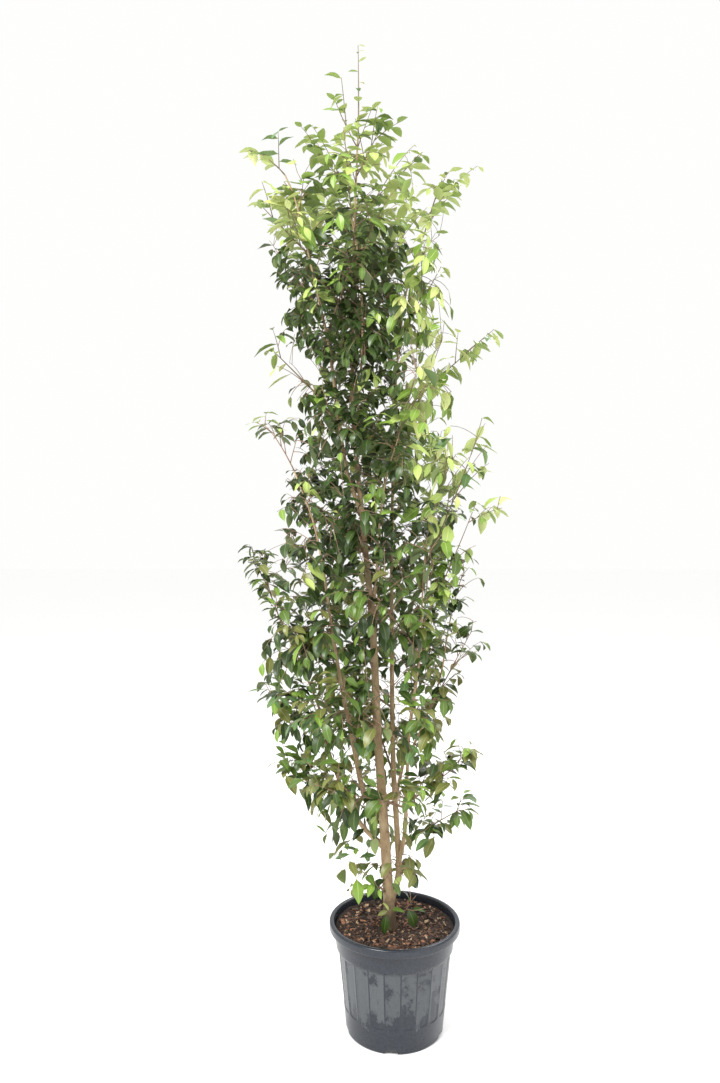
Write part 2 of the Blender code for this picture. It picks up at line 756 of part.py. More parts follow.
def union(name, pieces, solver):
    """The pieces as objects of a collection, joined by one union that is applied."""
    whole = add_object(name, *pieces[0])
    parts = bpy.data.collections.new(f"{name}_parts")
    bpy.context.scene.collection.children.link(parts)
    for i, piece in enumerate(pieces[1:]):
        part = add_object(f"{name}_part_{i}", *piece)
        bpy.context.scene.collection.objects.unlink(part)
        parts.objects.link(part)
    modifier = whole.modifiers.new("join", "BOOLEAN")
    modifier.operation = "UNION"
    modifier.operand_type = "COLLECTION"
    modifier.collection = parts
    modifier.solver = solver
    bpy.context.view_layer.objects.active = whole
    bpy.ops.object.modifier_apply(modifier=modifier.name)
    for part in list(parts.objects):
        bpy.data.objects.remove(part)
    bpy.data.collections.remove(parts)
    return whole


def keep_largest_body(obj):
    """Drops loose scraps, and says whether what is left is closed."""
    shape = bmesh.new()
    shape.from_mesh(obj.data)
    bmesh.ops.triangulate(shape, faces=shape.faces[:])
    loose = set(shape.faces)
    bodies = []
    while loose:
        body = {loose.pop()}
        border = list(body)
        while border:
            near = {face for f in border for e in f.edges for face in e.link_faces} - body
            body |= near
            border = list(near)
        loose -= body
        bodies.append(body)
    bodies.sort(key=len)
    scraps = [face for body in bodies[:-1] for face in body]
    bmesh.ops.delete(shape, geom=scraps, context="FACES")
    closed = all(edge.is_manifold and edge.is_contiguous for edge in shape.edges)
    shape.to_mesh(obj.data)
    shape.free()
    return closed


def joined(name, pieces, material):
    """One closed body of all the pieces."""
    for solver in ("EXACT", "MANIFOLD"):
        whole = union(name, pieces, solver)
        if keep_largest_body(whole):
            break
        bpy.data.objects.remove(whole)
    else:
        raise RuntimeError(f"{name} doesn't close")
    whole.name = name
    whole.data.materials.clear()
    whole.data.materials.append(material)
    whole.data.polygons.foreach_set("material_index", [0] * len(whole.data.polygons))
    return whole


def solids_of(names):
    """One tree of the faces of these objects, cuts included."""
    bpy.context.view_layer.update()
    graph = bpy.context.evaluated_depsgraph_get()
    verts, faces = [], []
    for name in names:
        mesh = bpy.data.objects[name].evaluated_get(graph).to_mesh()
        start = len(verts)
        verts.extend(v.co.copy() for v in mesh.vertices)
        faces.extend([start + i for i in p.vertices] for p in mesh.polygons)
    return BVHTree.FromPolygons(verts, faces)


def main():
    for obj in list(bpy.data.objects):
        bpy.data.objects.remove(obj)
    make_pot(make_material("dark plastic", POT_COLOUR, 0.45))
    make_soil(make_material("potting mix", SOIL_COLOUR, 0.95))
    limbs = make_limbs()
    shoots = make_shoots(limbs)
    space = Space(shoots, solids_of(("pot", "soil", *LIMBS)))
    for number, shoot in enumerate(shoots):
        pieces = grow_mass(shoot, number, space)
        shade = LOW_GREEN + GREEN_RISE * max(0.0, shoot.tip.z - 1.0)
        green = make_material(f"green of {shoot.name}", (0.6 * shade, shade, 0.3 * shade), 0.55)
        joined(shoot.name, pieces, green)


main()
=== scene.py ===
"""Looks of the potted sycoparrotia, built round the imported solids: bark, twigs, leaves, mix and pot.

Metres, +Z up, -Y is the front. Limbs and shoots follow the named sizes and the rule of the part's
source, and each shoot is carried on to finer twigs with leaves of natural size.
"""

import json
import math
import random

import bpy
import numpy as np
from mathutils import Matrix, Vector, noise
from mathutils.kdtree import KDTree

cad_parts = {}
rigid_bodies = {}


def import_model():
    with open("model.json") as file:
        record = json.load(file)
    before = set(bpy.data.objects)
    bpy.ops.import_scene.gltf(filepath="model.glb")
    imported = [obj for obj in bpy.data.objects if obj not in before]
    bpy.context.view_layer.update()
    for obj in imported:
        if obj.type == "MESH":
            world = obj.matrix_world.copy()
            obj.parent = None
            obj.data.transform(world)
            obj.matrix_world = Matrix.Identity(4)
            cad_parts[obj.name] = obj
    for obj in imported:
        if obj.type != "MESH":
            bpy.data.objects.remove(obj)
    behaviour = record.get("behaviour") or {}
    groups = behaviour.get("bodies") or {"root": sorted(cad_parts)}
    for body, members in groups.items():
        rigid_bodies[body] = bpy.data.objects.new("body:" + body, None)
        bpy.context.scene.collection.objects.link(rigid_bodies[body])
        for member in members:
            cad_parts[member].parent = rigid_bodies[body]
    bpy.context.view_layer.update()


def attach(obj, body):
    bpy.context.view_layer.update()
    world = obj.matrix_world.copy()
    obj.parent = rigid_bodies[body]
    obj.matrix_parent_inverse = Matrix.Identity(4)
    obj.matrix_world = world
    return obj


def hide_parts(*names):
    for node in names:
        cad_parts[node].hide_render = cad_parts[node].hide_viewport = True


GAP = 0.0003
SEED = 7

# Pot
RIM_RADIUS = 0.203
POT_HEIGHT = 0.332
BASE_RADIUS = 0.150
STEP_RADIUS = 0.1765
STEP_HEIGHT = 0.252
BAND_STEP = 0.005
BAND_FLARE = 0.006
WALL = 0.005
LIP_HEIGHT = 0.025
LIP_WIDTH = 0.015
FOOT_BAND = 0.072
FLUTES = 22
FLUTE_DEPTH = 0.004
FLUTE_PHASE = math.radians(4.0)
NOTCHES = 5
NOTCH_PHASE = math.radians(-96.0)
NOTCH_WIDTH = 0.040
NOTCH_HEIGHT = 0.008
NOTCH_SLOPE = 0.006
SOIL_LEVEL = 0.300

# Limbs
TAPER = 1.3
FLARE_SHARE = 0.30
FLARE_REACH = 0.035
RING_SPACING = 0.13
CURVE_STEPS = 16

# Each limb's parent, the height where it leaves it, its radius at foot and tip, and its places
LIMBS = {
    "trunk": (None, SOIL_LEVEL, 0.0175, 0.0026, (
        (-0.012, 0.000, SOIL_LEVEL), (-0.031, 0.000, 0.60), (-0.054, 0.010, 0.94),
        (-0.067, 0.015, 1.23), (-0.104, 0.020, 1.62), (-0.129, 0.010, 1.91),
        (-0.130, 0.000, 2.30), (-0.120, 0.000, 2.62), (-0.112, -0.005, 2.82))),
    "right_stem": ("trunk", 0.375, 0.0100, 0.0022, (
        (0.013, 0.012, 0.46), (0.010, 0.024, 0.58), (-0.002, 0.050, 0.82),
        (-0.005, 0.070, 1.15), (-0.004, 0.080, 1.60), (0.008, 0.074, 2.02),
        (0.040, 0.050, 2.30), (0.096, 0.030, 2.48))),
    "left_bough": ("trunk", 0.640, 0.0095, 0.0024, (
        (-0.092, -0.016, 0.72), (-0.130, -0.056, 0.90), (-0.177, -0.090, 1.15),
        (-0.235, -0.110, 1.52), (-0.305, -0.092, 1.72))),
    "far_left_bough": ("trunk", 0.550, 0.0080, 0.0024, (
        (-0.100, 0.026, 0.61), (-0.150, 0.052, 0.69), (-0.205, 0.084, 0.82),
        (-0.245, 0.100, 0.98), (-0.370, 0.104, 1.26))),
    "left_leader": ("trunk", 1.600, 0.0075, 0.0024, (
        (-0.152, -0.022, 1.74), (-0.199, -0.060, 2.08), (-0.246, -0.080, 2.30),
        (-0.300, -0.080, 2.53), (-0.335, -0.072, 2.62))),
    "right_bough": ("right_stem", 0.490, 0.0070, 0.0022, (
        (0.032, -0.004, 0.60), (0.036, -0.046, 0.77), (0.044, -0.080, 0.96),
        (0.072, -0.118, 1.18), (0.078, -0.130, 1.36), (0.090, -0.126, 1.52))),
    "far_right_bough": ("right_bough", 0.850, 0.0040, 0.0020, (
        (0.086, -0.052, 0.95), (0.140, -0.016, 1.08), (0.170, 0.020, 1.23))),
    "back_bough": ("trunk", 0.780, 0.0075, 0.0022, (
        (-0.056, 0.060, 0.89), (-0.064, 0.132, 1.10), (-0.040, 0.180, 1.40),
        (-0.024, 0.200, 1.68))),
    "back_right_bough": ("right_stem", 0.690, 0.0060, 0.0022, (
        (0.034, 0.092, 0.80), (0.074, 0.150, 1.00), (0.104, 0.188, 1.22),
        (0.122, 0.200, 1.40))),
    "front_bough": ("trunk", 1.280, 0.0055, 0.0020, (
        (-0.058, -0.040, 1.38), (-0.052, -0.090, 1.52), (-0.031, -0.130, 1.69),
        (0.004, -0.150, 1.81))),
    "upper_back_bough": ("trunk", 1.740, 0.0050, 0.0020, (
        (-0.122, 0.066, 1.85), (-0.130, 0.128, 2.05), (-0.112, 0.150, 2.28),
        (-0.120, 0.142, 2.44))),
    "upper_front_bough": ("trunk", 1.900, 0.0050, 0.0020, (
        (-0.108, -0.050, 1.99), (-0.100, -0.108, 2.15), (-0.112, -0.132, 2.34),
        (-0.132, -0.132, 2.46))),
}

# Leafy shoots, and how far each one's leaves reach
LEADING_SHOOTS = {
    "trunk": (-0.114, -0.006, 3.120),
    "right_stem": (0.176, 0.002, 2.715),
    "left_bough": (-0.433, -0.070, 1.915),
    "far_left_bough": (-0.475, 0.098, 1.500),
    "left_leader": (-0.498, -0.052, 2.740),
    "right_bough": (0.200, -0.112, 1.830),
    "far_right_bough": (0.243, 0.056, 1.480),
    "back_bough": (-0.030, 0.300, 1.980),
    "back_right_bough": (0.190, 0.290, 1.690),
    "front_bough": (0.080, -0.220, 2.060),
    "upper_back_bough": (-0.150, 0.230, 2.740),
    "upper_front_bough": (-0.160, -0.220, 2.760),
}
REACHING_SHOOTS = {
    "top_left": ("trunk", 2.740, (-0.215, -0.014, 2.947)),
    "crown_left": ("trunk", 2.600, (-0.325, 0.024, 2.810)),
    "crown_right": ("trunk", 2.520, (0.133, 0.030, 2.775)),
    "crown_middle": ("trunk", 2.650, (-0.017, -0.070, 2.825)),
    "shoulder_left": ("left_leader", 2.380, (-0.464, -0.060, 2.590)),
    "shoulder_right": ("right_stem", 2.160, (0.175, -0.050, 2.410)),
    "long_right": ("right_stem", 1.900, (0.361, -0.004, 2.216)),
    "high_left": ("left_leader", 1.900, (-0.426, -0.084, 2.140)),
    "middle_right": ("right_bough", 1.440, (0.289, -0.050, 1.945)),
    "waist_right": ("right_bough", 1.260, (0.274, -0.050, 1.690)),
    "waist_left": ("left_bough", 1.120, (-0.404, -0.140, 1.330)),
    "low_left": ("far_left_bough", 0.860, (-0.436, 0.050, 1.045)),
    "foot_left": ("far_left_bough", 0.680, (-0.395, -0.020, 0.810)),
    "middle_low_right": ("far_right_bough", 0.985, (0.262, -0.060, 1.290)),
    "low_right": ("right_bough", 0.700, (0.267, -0.070, 0.880)),
    "foot_right": ("right_bough", 0.560, (0.261, 0.010, 0.700)),
    "foot_front": ("trunk", 0.420, (-0.130, -0.130, 0.560)),
}

# Where the crown's middle is, and its half-width, by height
CROWN = (
    (0.32, -0.03, 0.13), (0.46, -0.03, 0.15), (0.60, -0.04, 0.21), (0.78, -0.07, 0.31),
    (1.05, -0.10, 0.32), (1.48, -0.09, 0.33), (1.75, -0.06, 0.31), (2.00, -0.06, 0.29),
    (2.25, -0.09, 0.28), (2.50, -0.12, 0.29), (2.70, -0.14, 0.26), (2.82, -0.14, 0.18),
    (2.95, -0.12, 0.09), (3.12, -0.11, 0.03),
)
CROWN_LEFT = -0.504
CROWN_RIGHT = 0.362
OUTSIDE_REACH = 0.115

# The rule that fills the crown with shoots
FILLING_SHOOTS = 17
FILLING_SPAN = (0.56, 2.40)
FILLING_STEP = 0.07
FILLING_TURNS = 12
FILLING_RISE = (0.12, 0.22)
SHORTEST_SHOOT = 0.16
LONGEST_SHOOT = 0.46
STEM_CLEARANCE = 0.012
OWN_LIMB_REACH = 0.06
AXIS_STEPS = (0.0, 0.25, 0.5, 0.75)
ARCH = 0.12
SPREAD = 0.10
ARCH_STEPS = 24
LAST_LEAF = 0.066
LEAFY_SHARES = (0.5, 1.0)
STEM_SPACING = 0.075
STEM_RADIUS = 0.0040
STEM_SHARE_OF_TIP = 0.95
STEM_SHARE_OF_SIDE = 0.75
GOLDEN_ANGLE = math.radians(137.5)
NODE_TURN = 0.3

# How young each shoot is: a young one is long and open, with large light leaves. Others are young
# near the top and on the right. One twig in some is young wherever it is
YOUNG = {
    "trunk": 0.8, "right_stem": 1.0, "left_leader": 0.8, "top_left": 0.9, "crown_left": 0.8,
    "crown_right": 0.9, "crown_middle": 0.7, "shoulder_left": 0.8, "shoulder_right": 1.0,
    "long_right": 1.0, "high_left": 0.7, "middle_right": 0.9, "right_bough": 0.8,
    "front_bough": 0.7, "upper_front_bough": 0.9, "upper_back_bough": 0.9, "waist_right": 0.5,
    "left_bough": 0.4, "back_bough": 0.5,
}
YOUNG_HEIGHT = (2.22, 2.56)
YOUNG_RIGHT = (-0.03, 0.11)
YOUNG_RIGHT_HEIGHT = (1.42, 1.80)
YOUNG_STRAY = 0.20
TOP_YOUTH = 0.80
SPORT_SHARE = 0.035
SPORT_YOUTH = 0.8
YOUNG_LEAST = 0.45
GREEN_LEAST = 0.6
DENSE_HEIGHT = (1.15, 1.45)
YOUNG_NODES = 0.029
TOP_NODES = 0.022
DENSE_NODES = 0.0160
OPEN_NODES = 0.0225

# Along a mass's stem: the spacing of its twigs and leaves, the chance of a twig, and how much
# smaller leaves get towards the tip, and from where
YOUNG_STEM_LEAST = 0.5
YOUNG_STEM_NODES = 0.021
OLD_STEM_NODES = 0.028
STEM_NODES = {"trunk": 0.031, "foot_front": 0.060}
YOUNG_TWIG_CHANCE = 0.75
OLD_TWIG_CHANCE = 0.95
BARE_TRUNK = 2.84
TIP_SHRINK = {"trunk": (0.72, 0.0)}
OTHER_TIP_SHRINK = (0.40, 0.5)

# Sprigs at the foot of the trunk: their twigs, and each leaf's root, tip and tone
SPRIGS = (
    ((((0.002, -0.010, 0.309), (0.034, -0.030, 0.371), (0.050, -0.035, 0.399),
       (0.065, -0.040, 0.420)),
      ((0.032, -0.029, 0.369), (0.009, -0.045, 0.374), (-0.019, -0.055, 0.382)),
      ((0.049, -0.034, 0.398), (0.046, -0.030, 0.440), (0.044, -0.026, 0.470)),
      ((0.036, -0.031, 0.374), (0.060, -0.050, 0.378), (0.094, -0.060, 0.392))),
     (((-0.019, -0.055, 0.380), (-0.032, -0.062, 0.410), "lime"),
      ((-0.028, -0.056, 0.372), (-0.034, -0.076, 0.306), "deep"),
      ((-0.012, -0.052, 0.380), (0.026, -0.070, 0.394), "mid"),
      ((-0.022, -0.056, 0.380), (-0.056, -0.066, 0.372), "olive"),
      ((0.040, -0.034, 0.378), (0.074, -0.062, 0.322), "deep"),
      ((0.052, -0.042, 0.378), (0.092, -0.056, 0.388), "deep"))),
    ((((-0.020, -0.010, 0.440), (-0.050, -0.022, 0.452), (-0.072, -0.026, 0.446),
       (-0.098, -0.030, 0.437)),),
     (((-0.074, -0.026, 0.446), (-0.112, -0.040, 0.440), "fresh"),
      ((-0.098, -0.030, 0.437), (-0.124, -0.044, 0.402), "mid"),
      ((-0.052, -0.023, 0.452), (-0.064, -0.040, 0.400), "deep"))),
    ((((0.006, 0.000, 0.440), (0.024, -0.016, 0.470), (0.040, -0.022, 0.478)),),
     (((0.040, -0.022, 0.478), (0.072, -0.040, 0.440), "deep"),
      ((0.024, -0.016, 0.470), (-0.004, -0.034, 0.448), "lime"),
      ((0.010, -0.016, 0.452), (0.000, -0.034, 0.424), "fresh"))),
)
SPRIG_SPACING = 0.012
SPRIG_FOOT = 0.0015
SPRIG_TIP = 0.0008
SPRIG_FACE_HANGING = (0.1, -0.8, 0.6)
SPRIG_FACE_RISING = (0, -0.3, 0.9)

# Twigs
FINE_SPACING = 0.02
WOOD_SPACING = 0.01
SOIL_MARGIN = 0.012
STEM_TIP = 0.0010
TWIG_FOOT = 0.0016
TWIG_TIP = 0.0007
TWIG_SIDES = 5
TWIG_FORWARD = 0.6
TWIG_ASIDE = 0.85
TWIG_STRAY = 0.35
TWIG_RISE = (0.15, 0.80)
YOUNG_TWIG = (0.10, 0.26)
OLD_TWIG = (0.07, 0.17)
TWIG_SHORTER_OUT = 0.4
TWIG_RETRY = 0.85
TWIG_BARE = 0.02
BARE_FOOT = 0.028
TRIES = 4
SIDE_TWIG = (0.04, 0.09)
SIDE_TWIG_FIRST = 0.03
SIDE_TWIG_SPACING = 0.033
SIDE_TWIG_LAST = 0.8
SIDE_TWIG_CHANCE = 0.62
SIDE_TWIG_GIRTH = 0.7
SIDE_TWIG_BARE = 0.012

# Twigs straight from a limb
LIMB_TWIG = (0.06, 0.17)
LIMB_TWIG_FIRST = 0.10
LIMB_TWIG_SPACING = 0.036
LIMB_TWIG_LOWEST = 0.85
LIMB_TWIG_LAST = 0.97
LIMB_TWIG_FEWER_LOW = 0.35
LIMB_TWIG_RISE = 0.35
LIMB_TWIG_LIFT = (0.1, 0.7)
LIMB_TWIG_SINK = 0.7
LIMB_TWIG_YOUTH = 0.8
LIMB_TWIG_BRANCHED = 0.5
LIMB_TWIG_BARE = 0.025

# Twigs that fill what is left open: how full a place is counts the leaves this near to it
FILL_STEP = 0.045
FILL_RADIUS = 0.048
FILL_WANTED = ((0.45, 0.0), (0.62, 0.9), (1.10, 1.9), (1.35, 2.5), (2.25, 3.8), (2.42, 2.2),
               (2.55, 0.7), (2.62, 0.0))
FILL_YOUNG_SHARE = 0.6
FILL_EDGE = (0.50, 1.00)
FILL_EDGE_SHARE = 0.35
FILL_LENGTH = (0.035, 0.21)
FILL_SPAN = (0.46, 2.75)
FILL_INNER = 0.22
FILL_SINK = 0.6
FILL_LEAN = 0.6
FILL_BARE = (0.015, 0.2)

# Stems that show at the front: from and to which height, and how wide they are kept open
OPEN_FRONT = (
    ("trunk", 0.33, 1.75, 0.026), ("right_stem", 0.46, 1.75, 0.020),
    ("left_bough", 0.74, 1.30, 0.018),
)
OPEN_FRONT_SHARE = (0.95, 0.55)
OPEN_FRONT_HEIGHT = (1.00, 1.75)

# Openings that show the sky from the front: middle and half size, and the share of leaves left out
OPENINGS = (
    (0.092, 2.206, 0.085, 0.300, 0.58), (0.242, 1.716, 0.095, 0.190, 0.40),
    (-0.295, 2.038, 0.069, 0.081, 0.90), (-0.326, 1.850, 0.062, 0.106, 0.75),
    (-0.376, 1.622, 0.069, 0.144, 0.85), (-0.304, 1.544, 0.047, 0.037, 0.80),
    (-0.326, 1.441, 0.069, 0.041, 0.85), (-0.295, 1.288, 0.044, 0.037, 0.50),
    (0.080, 2.059, 0.085, 0.100, 0.80), (0.249, 1.956, 0.069, 0.106, 0.45),
    (0.149, 1.909, 0.069, 0.041, 0.80), (0.149, 1.681, 0.106, 0.041, 0.65),
    (0.230, 1.525, 0.075, 0.062, 0.85), (0.261, 1.356, 0.056, 0.075, 0.80),
    (0.199, 1.094, 0.062, 0.069, 0.70), (-0.001, 1.044, 0.062, 0.094, 0.45),
    (0.174, 0.882, 0.056, 0.037, 0.85), (-0.101, 0.569, 0.047, 0.112, 0.75),
    (-0.345, 0.732, 0.062, 0.047, 0.80), (-0.270, 0.632, 0.044, 0.056, 0.90),
    (0.330, 1.825, 0.050, 0.187, 0.80), (0.130, 2.381, 0.044, 0.069, 0.60),
    (0.262, 1.290, 0.100, 0.220, 0.42), (-0.262, 1.510, 0.070, 0.210, 0.38),
)

# Between the sprays that stand out, the crown is narrower: its left and right edge by height, and
# how far past them its leaves thin out to none. In depth, the masses' own leaves reach further
EDGES = (
    (0.45, -0.092, 0.027), (0.61, -0.176, 0.064), (0.73, -0.276, 0.111), (0.86, -0.336, 0.117),
    (1.01, -0.367, 0.136), (1.17, -0.367, 0.149), (1.33, -0.326, 0.149), (1.45, -0.295, 0.136),
    (1.58, -0.286, 0.136), (1.73, -0.282, 0.149), (1.86, -0.276, 0.136), (2.00, -0.270, 0.130),
    (2.12, -0.307, 0.086), (2.23, -0.339, 0.130), (2.36, -0.339, 0.096), (2.48, -0.373, 0.105),
    (2.61, -0.342, 0.096), (2.73, -0.295, 0.017),
)
EDGE_FADE = 0.06
EDGE_DEPTH = 1.15
OWN_DEPTH = 1.60

# The camera: how far it stands in front of the pot's axis, and its place across and its height
VIEW_DISTANCE = 2.49
VIEW_MIDDLE = (-0.1075, 1.508)

# Leaves: length of the smallest and the largest by kind of shoot
YOUNG_LEAF = (0.064, 0.090)
TOP_LEAF = (0.058, 0.082)
TOP_HEIGHT = 2.45
DENSE_LEAF = (0.048, 0.067)
OPEN_LEAF = (0.052, 0.076)
STANDING_OUT = len(LEADING_SHOOTS) + len(REACHING_SHOOTS)
STANDING_OUT_SPARED = 0.4
TOP_HANG = (-0.05, 0.50)
TOP_FACING = (0.0, 0.6)
YOUNG_HANG = (0.25, 0.95)
YOUNG_FACING = (0.1, 0.9)
OLD_HANG = (0.00, 0.55)
OLD_FACING = (0.0, 0.50)
LEAF_SPACE = 0.010
LIMB_MARGIN = 0.006
LEAF_FORWARD = 0.45
LEAF_ASIDE = 0.8
LEAF_STRAY = 0.2
FACE_STRAY = 0.22
LEAF_TIP_ALONG = 0.88
LEAF_TIP_DROP = 0.22
LEAF_SEEN_AT = 0.3
SMALLER_OUT = 0.45
SMALLER_FROM = 0.6
END_LEAF = 0.6
LEAF_PATTERNS = 16
LEAVES_PER_PIECE = 3000
BENT_TONES = ("dark", "deep", "mid", "olive")
FIRST_BENT = 6
LEAF_ROWS = (0.0, 0.07, 0.24, 0.45, 0.67, 0.85)
LEAF_COLUMNS = (-1.0, -0.07, 0.07, 1.0)
LEAF_STALK = 0.06
LEAF_WIDTH = 0.232
LEAF_THICKNESS = 0.006
STALK_WIDTH = 0.011
LEAF_FOLD = (0.10, 0.70)
LEAF_FLATTER_OUT = 0.4
LEAF_BEND = (0.25, 0.95)
LEAF_WAVE = (0.04, 0.16)
LEAF_WAVES = 9.4
LEAF_TWIST = 0.5
LEAF_TWIST_FROM = 0.3
LEAF_WIDTHS = (0.85, 1.12)
LEAF_WIDEST = 0.85
LEAF_ROUNDNESS = 0.75
LEAF_POINT = 0.35
LEAF_SHARP = 70

# Colours of face, midrib and back, by tone
LEAF_COLOURS = {
    "dark": ((0.022, 0.042, 0.009), (0.070, 0.105, 0.030), (0.070, 0.098, 0.030)),
    "deep": ((0.040, 0.075, 0.014), (0.110, 0.160, 0.045), (0.105, 0.145, 0.045)),
    "mid": ((0.090, 0.155, 0.026), (0.190, 0.270, 0.075), (0.170, 0.228, 0.070)),
    "olive": ((0.170, 0.185, 0.048), (0.290, 0.305, 0.105), (0.250, 0.250, 0.092)),
    # The cool tone is a green leaf whose bluish tint is painted sheen
    "cool": ((0.105, 0.195, 0.062), (0.215, 0.310, 0.125), (0.195, 0.285, 0.115)),
    "fresh": ((0.190, 0.310, 0.045), (0.350, 0.465, 0.125), (0.335, 0.440, 0.130)),
    # The lime tone is a young leaf's own light green, made brighter still by painted glow of light
    # through the leaf
    "lime": ((0.400, 0.515, 0.130), (0.540, 0.630, 0.240), (0.510, 0.590, 0.225)),
    "yellow": ((0.545, 0.610, 0.195), (0.660, 0.705, 0.300), (0.610, 0.655, 0.275)),
}
FACE_ROUGHNESS = 0.36
FACE_SPECULAR = 0.4
MIDRIB_ROUGHNESS = 0.5
BACK_ROUGHNESS = 0.6
TWIG_COLOURS = {"brown_twigs": (0.260, 0.165, 0.105), "young_shoots": (0.200, 0.140, 0.085)}
TWIG_ROUGHNESS = 0.6

# How often each tone comes in a spray, by least youth and least height
SPRAYS = (
    (0.85, 0.0, {"lime": 50, "fresh": 38, "yellow": 5, "cool": 7}),
    (0.60, 0.0, {"lime": 52, "fresh": 28, "cool": 8, "mid": 4, "yellow": 8}),
    (0.38, 0.0, {"lime": 12, "fresh": 32, "mid": 38, "deep": 18}),
    (-1.0, 1.45, {"dark": 50, "deep": 30, "mid": 13, "fresh": 7}),
    (-1.0, 1.15, {"dark": 28, "deep": 30, "mid": 24, "olive": 13, "cool": 5}),
    (-1.0, 0.0, {"dark": 7, "deep": 20, "mid": 30, "olive": 29, "cool": 14}),
)

# The second tone of each spray, mostly a lighter one: how many leaves have it, how many more on
# young twigs, and how many at twig ends
LIGHTER = {"dark": "deep", "deep": "mid", "mid": "fresh", "olive": "fresh", "cool": "fresh",
           "fresh": "lime", "lime": "yellow", "yellow": "lime"}
LIGHTER_SHARE = 0.10
LIGHTER_SHARE_YOUNG = 0.25
LIGHTER_SHARE_END = 0.5


class Nodes:
    """A new material's nodes, put together by short calls."""

    def __init__(self, name, **sockets):
        self.material = bpy.data.materials.new(name)
        self.material.use_nodes = True
        self.nodes = self.material.node_tree.nodes
        self.links = self.material.node_tree.links
        self.shader = self.nodes["Principled BSDF"]
        self.set(self.shader, **sockets)

    def set(self, node, **sockets):
        """Plain values and links for a node's sockets."""
        for name, value in sockets.items():
            socket = node.inputs[name.replace("_", " ")]
            if isinstance(value, bpy.types.NodeSocket):
                self.links.new(value, socket)
            else:
                socket.default_value = value

    def add(self, kind, **sockets):
        node = self.nodes.new(f"ShaderNode{kind}")
        self.set(node, **sockets)
        return node

    def maths(self, operation, *values):
        node = self.nodes.new("ShaderNodeMath")
        node.operation = operation
        for socket, value in zip(node.inputs, values):
            if isinstance(value, bpy.types.NodeSocket):
                self.links.new(value, socket)
            else:
                socket.default_value = value
        return node.outputs[0]

    def stretched(self, place, scale):
        return self.add("Mapping", Scale=scale, Vector=place).outputs["Vector"]

    def grain(self, place, scale, detail, roughness):
        noise_node = self.add("TexNoise", Scale=scale, Detail=detail, Roughness=roughness, Vector=place)
        return noise_node.outputs["Fac"]

    def ramp(self, factor, stops):
        """A colour that follows a factor through stops of position and colour."""
        node = self.add("ValToRGB", Fac=factor)
        elements = node.color_ramp.elements
        while len(elements) < len(stops):
            elements.new(0.5)
        for element, (position, colour) in zip(elements, stops):
            element.position = position
            element.color = (*colour, 1.0)
        return node.outputs["Color"]

    def mix(self, factor, first, second):
        node = self.nodes.new("ShaderNodeMix")
        node.data_type = "RGBA"
        self.set(node, Factor=factor, A=first, B=second)
        return node.outputs["Result"]

    def remap(self, value, given, wanted):
        node = self.add("MapRange", Value=value, From_Min=given[0], From_Max=given[1],
                        To_Min=wanted[0], To_Max=wanted[1])
        return node.outputs["Result"]

    def bump(self, height, strength, distance):
        node = self.add("Bump", Strength=strength, Distance=distance, Height=height)
        self.set(self.shader, Normal=node.outputs["Normal"])


def material(name, colour, roughness, **sockets):
    """A Principled material with plain values on its own sockets."""
    return Nodes(name, Base_Color=(*colour, 1.0), Roughness=roughness, **sockets).material


def mesh_object(name, verts, triangles, materials, indices=None, sharp=None):
    """A smooth-shaded mesh from arrays, which rides on the part's one body."""
    mesh = bpy.data.meshes.new(name)
    triangles = np.asarray(triangles, np.int32)
    mesh.vertices.add(len(verts))
    mesh.vertices.foreach_set("co", np.asarray(verts, np.float32).ravel())
    mesh.loops.add(3 * len(triangles))
    mesh.loops.foreach_set("vertex_index", triangles.ravel())
    mesh.polygons.add(len(triangles))
    mesh.polygons.foreach_set("loop_start", np.arange(0, 3 * len(triangles), 3, dtype=np.int32))
    for m in materials:
        mesh.materials.append(m)
    if indices is not None:
        mesh.polygons.foreach_set("material_index", np.asarray(indices, np.int32))
    mesh.update(calc_edges=True)
    mesh.shade_smooth()
    if sharp:
        mesh.set_sharp_from_angle(angle=math.radians(sharp))
    obj = bpy.data.objects.new(name, mesh)
    bpy.context.scene.collection.objects.link(obj)
    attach(obj, "root")
    return obj


class Heap:
    """Many small shapes that are joined into one mesh."""

    def __init__(self):
        self.verts = []
        self.triangles = []
        self.count = 0

    def add(self, verts, triangles):
        self.verts.append(np.asarray(verts, float).reshape(-1, 3))
        self.triangles.append(np.asarray(triangles, int) + self.count)
        self.count += len(verts)

    def object(self, name, materials, sharp=None):
        verts = np.concatenate(self.verts)
        return mesh_object(name, verts, np.concatenate(self.triangles), materials, sharp=sharp)


# Curves and tubes


def curve_through(places, spacing):
    """Evenly spaced points on a smooth curve through the places."""
    points = [Vector(p) for p in places]
    ends = [2 * points[0] - points[1], *points, 2 * points[-1] - points[-2]]
    fine = [points[0]]
    for a, b, c, d in zip(ends, ends[1:], ends[2:], ends[3:]):
        for k in range(CURVE_STEPS):
            t = (k + 1) / CURVE_STEPS
            fine.append(0.5 * (2 * b + (c - a) * t + (2 * a - 5 * b + 4 * c - d) * t * t
                               + (3 * b - a - 3 * c + d) * t ** 3))
    return resample(fine, spacing)


def arch_between(foot, tip, outward, spacing):
    """Evenly spaced points on an arch that springs up and outward from the foot to the tip."""
    spring = Vector((0, 0, ARCH)) + outward * SPREAD
    middle = foot.lerp(tip, 0.5) + spring * (tip - foot).length
    fine = [foot * (1 - t) ** 2 + middle * 2 * t * (1 - t) + tip * t * t
            for t in (k / ARCH_STEPS for k in range(ARCH_STEPS + 1))]
    return resample(fine, spacing)


